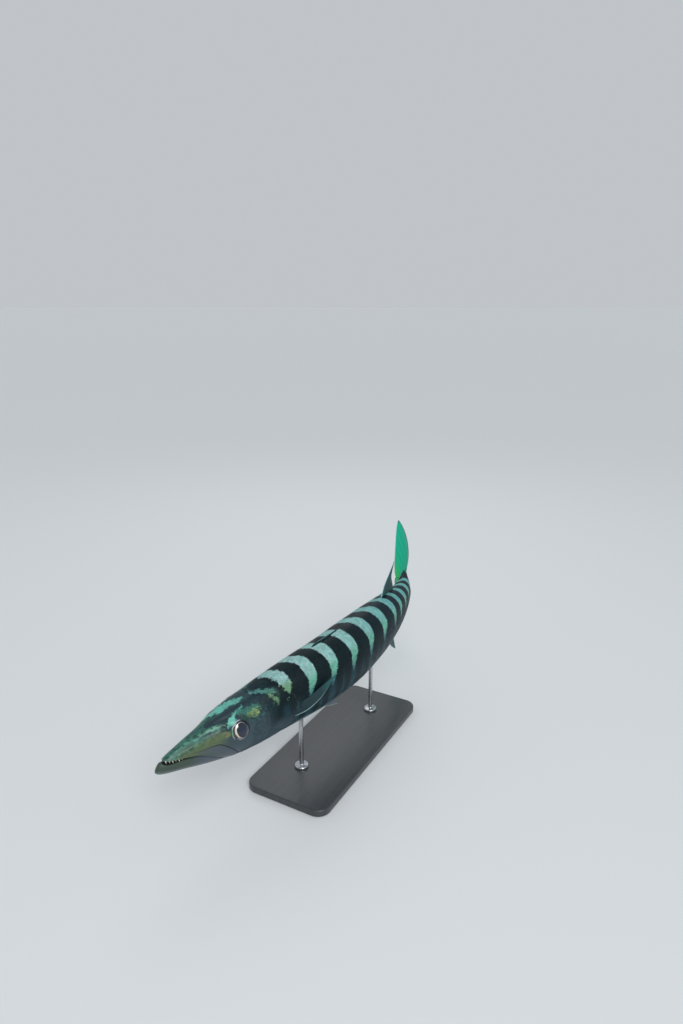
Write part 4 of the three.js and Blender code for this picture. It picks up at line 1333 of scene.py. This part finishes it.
def makeTeeth():
    points, faces = [], []
    v = np.linspace(0, 1, teeth["rings"])[:, None]
    turn = roundAngles(teeth["sides"])[None, :]
    for side in (-1, 1):
        for k, size in enumerate(teeth["sizes"]):
            at = teeth["first"] + k * teeth["step"]
            lip = readTable(mouthGuide, 1, at) + teeth["lip"]
            across = sectionPoint(at, side * levelAngle(at, lip))[1]
            thin = teeth["radius"] * size * (1 - v) ** 0.7 + teeth["point"]
            x = at + thin * np.cos(turn) + teeth["hook"] * size * v**2
            y = across - side * (teeth["inset"] + teeth["radius"] * 0.5) + thin * np.sin(turn)
            drop = teeth["length"] * size + teeth["root"] - teeth["sunk"]
            z = lip + teeth["root"] - drop * v + 0 * turn
            faces += ringFaces(teeth["rings"], teeth["sides"], len(points) * (v.size * turn.size + 2))
            points.append(withCaps(bend(np.stack([x, y, z], -1))))
    points = np.concatenate(points)
    piece = makePiece("teeth", points, facingOut(points, faces))
    piece.data.materials.append(teethPaint())
    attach(piece, "root")


makeTeeth()
print("teeth made")


# The stand: a painted board and two steel rods with a foot and a shallow cup
stand = {
    "length": 430, "width": 180, "height": 14, "corner": 26, "edge": 2.5, "along": 438,
    "rods": {"stand_rod_front": 316, "stand_rod_rear": 572}, "sides": 64,
    "rod": 4.5, "foot": 14, "footHeight": 6, "cup": 11, "cupHeight": 9,
    "cupInside": [(0, 0.9), (-0.5, 0.35), (-1.6, 0.25), (-9, 0.25)],  # past its radius, and below the belly
    "board": tint(50, 53, 56), "boardGrain": tint(60, 63, 66),
    "steel": tint(176, 180, 184), "steelGrain": tint(206, 208, 212),
}


def boardPaint():
    paint = Paint("board")
    grain = paint.noise(paint.stretched(paint.own(), (9, 160, 60)), 1.0, 5, 0.6)
    fine = paint.noise(paint.own(), 260, 2)
    return paint.finish({
        "Base Color": paint.mix(grain.within(0.35, 0.7), stand["board"], stand["boardGrain"]),
        "Roughness": 0.4 + (fine - 0.5) * 0.2 + (grain - 0.5) * 0.16,
        "Normal": paint.bump(grain, 0.0004, 0.35), "Coat Weight": 0.2, "Coat Roughness": 0.25,
    })


def steelPaint():
    paint = Paint("steel")
    lines = paint.noise(paint.stretched(paint.own(), (60, 60, 2400)), 1.0, 3, 0.6)
    return paint.finish({
        "Base Color": paint.mix(lines, stand["steel"], stand["steelGrain"]), "Metallic": 1.0,
        "Roughness": 0.26 + (lines - 0.5) * 0.25, "Normal": paint.bump(lines, 0.00006, 0.4),
    })


def levelRing(centre, radius, turn, height):  # points round a centre, at one height or each at its own
    out = np.stack([np.cos(turn), np.sin(turn)], 1) * radius
    return np.column_stack([centre + out, np.broadcast_to(height, turn.shape)])


def makeBoard():
    middle = bend(np.array([[stand["along"], 0.0, 0.0]]))[0, :2] * 1000
    edge, corner, top = stand["edge"], stand["corner"], stand["height"]
    bevel = np.linspace(0, np.pi / 2, 7)
    profile = [(1 - math.sin(t), edge * (1 - math.cos(t))) for t in bevel] + [(0, top / 2)]
    profile += [(1 - math.cos(t), top - edge * (1 - math.sin(t))) for t in bevel]
    signs = np.repeat([(1, 1), (-1, 1), (-1, -1), (1, -1)], 17, axis=0)
    centres = middle + signs * (np.array([stand["length"], stand["width"]]) / 2 - corner)
    turn = np.concatenate([np.linspace(0, np.pi / 2, 17) + k * np.pi / 2 for k in range(4)])
    rings = [levelRing(centres, corner - edge * pull, turn, z) for pull, z in profile]
    piece = loft("looks_stand_base", np.array(rings) / 1000)
    rounded = [abs(p.normal.z) <= 0.999 for p in piece.data.polygons]
    piece.data.polygons.foreach_set("use_smooth", rounded)
    piece.data.materials.append(boardPaint())
    return piece


def makeRod(name, at, paint):
    place, back, right, _ = [part[0] for part in spineAt(np.array([float(at)]))]
    centre = bend(np.array([[at, 0.0, readTable(body["stations"], 2, at)]]))[0] * 1000
    foot, rod, wide, bottom = stand["foot"], stand["rod"], stand["cup"], stand["height"]
    top, cup = bottom + stand["footHeight"], centre[2] - stand["cupHeight"]
    # radius and height, up the foot, the rod and the cup
    profile = [(0.5, bottom), (foot - 0.4, bottom), (foot, bottom + 0.5), (foot, top - 1.8),
               (foot - 0.5, top - 0.6), (foot - 1.8, top), (rod + 1.4, top + 0.2), (rod + 0.4, top + 0.7)]
    profile += [(rod, z) for z in np.linspace(top + 1.8, cup - 2, 6)]
    profile += [(rod + 0.9, cup + 1.2), (wide - 2.4, cup + 3.4), (wide - 0.6, cup + 4.8), (wide, cup + 6.2)]
    turn = roundAngles(stand["sides"])
    rings = [levelRing(centre[:2], r, turn, z) for r, z in profile]
    for past, drop in stand["cupInside"]:  # the cup's inside follows the belly
        ring = levelRing(centre[:2], wide + past, turn, 0.0)
        off = ring[:, :2] - place[:2]
        s, y = at + off @ back[:2], off @ right[:2]
        _, low, half, widest, _, below = sectionParts(s)
        z = widest - (widest - low) * (1 - np.abs(np.clip(y / half, -1, 1)) ** below) ** (1 / below)
        ring[:, 2] = bend(np.stack([s, y, z], -1))[:, 2] * 1000 - skin["inset"] - drop
        rings.append(ring)
    piece = loft("looks_" + name, np.array(rings) / 1000)
    piece.data.materials.append(paint)
    return piece


standPieces = {"stand_base": makeBoard()}
steelMaterial = steelPaint()
for name, at in stand["rods"].items():
    standPieces[name] = makeRod(name, at, steelMaterial)
for name, piece in standPieces.items():
    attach(piece, "root")
    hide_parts(name)
    "stand_base" if name == "stand_base" else "stand_rod"
print("stand made")

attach(skinPiece, "root")
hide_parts("snout", "lower_jaw", "head", "gill_cover_left", "gill_cover_right", "trunk_front",
            "trunk_middle", "trunk_rear", "tail_stalk")
for piece in scalePieces:
    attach(piece, "root")


# Floor, light and camera
studio = {
    "floorSize": 600, "floorDrop": 0.0005, "floor": tint(219, 222, 223),
    "world": tint(222, 227, 232), "worldStrength": 0.72,
    "sun": (1.1, 24, 38, -128),  # strength, softness, height and heading in degrees
    # name, place, aimed at, size, watts
    "lamps": [
        ("key", (-1.5, -1.1, 2.3), (-0.15, 0.0, 0.2), 1.2, 14),
        ("back", (1.6, 0.9, 1.9), (0.1, 0.0, 0.2), 1.3, 5),
    ],
    "camera": (-1.1829, -0.6525, 0.9071), "heading": 29.3, "dip": 16.54, "lens": 36.69, "sensor": 36,
}


def setUp(name, data, place, tilt, heading):  # tilt is from straight down, heading from +X, in radians
    holder = bpy.data.objects.new(name, data)
    holder.location = place
    holder.rotation_euler = (tilt, 0, heading - math.pi / 2)
    bpy.context.scene.collection.objects.link(holder)
    return holder


def makeFloor():
    half, level = studio["floorSize"] / 2, -studio["floorDrop"]
    corners = [(-half, -half, level), (half, -half, level), (half, half, level), (-half, half, level)]
    floor = makePiece("floor", corners, [[0, 1, 2, 3]])
    paint = Paint("floor")
    rough = 0.6 + (paint.noise(paint.own(), 30, 3) - 0.5) * 0.1
    floor.data.materials.append(paint.finish({"Roughness": rough, "Base Color": studio["floor"]}))


def makeStudio():
    world = bpy.data.worlds.new("studio")
    world.use_nodes = True
    world.node_tree.nodes["Background"].inputs["Color"].default_value = studio["world"]
    world.node_tree.nodes["Background"].inputs["Strength"].default_value = studio["worldStrength"]
    bpy.context.scene.world = world
    for name, place, aim, width, watts in studio["lamps"]:
        lamp = bpy.data.lights.new(name, "AREA")
        lamp.shape, lamp.size, lamp.energy = "DISK", width, watts
        look = np.array(aim) - np.array(place)
        setUp(name, lamp, place, math.acos(-look[2] / np.linalg.norm(look)), math.atan2(look[1], look[0]))
    strength, softness, height, heading = studio["sun"]
    sun = bpy.data.lights.new("sun", "SUN")
    sun.energy, sun.angle = strength, math.radians(softness)
    setUp("sun", sun, (0, 0, 0), math.radians(90 - height), math.radians(heading + 180))
    camera = bpy.data.cameras.new("camera")
    camera.lens, camera.sensor_width, camera.sensor_fit = studio["lens"], studio["sensor"], "HORIZONTAL"
    camera.clip_end = 1000
    tilt, heading = math.radians(90 - studio["dip"]), math.radians(studio["heading"])
    bpy.context.scene.camera = setUp("camera", camera, studio["camera"], tilt, heading)
    bpy.context.scene.view_settings.view_transform = "Standard"


makeFloor()
makeStudio()
print("studio made")
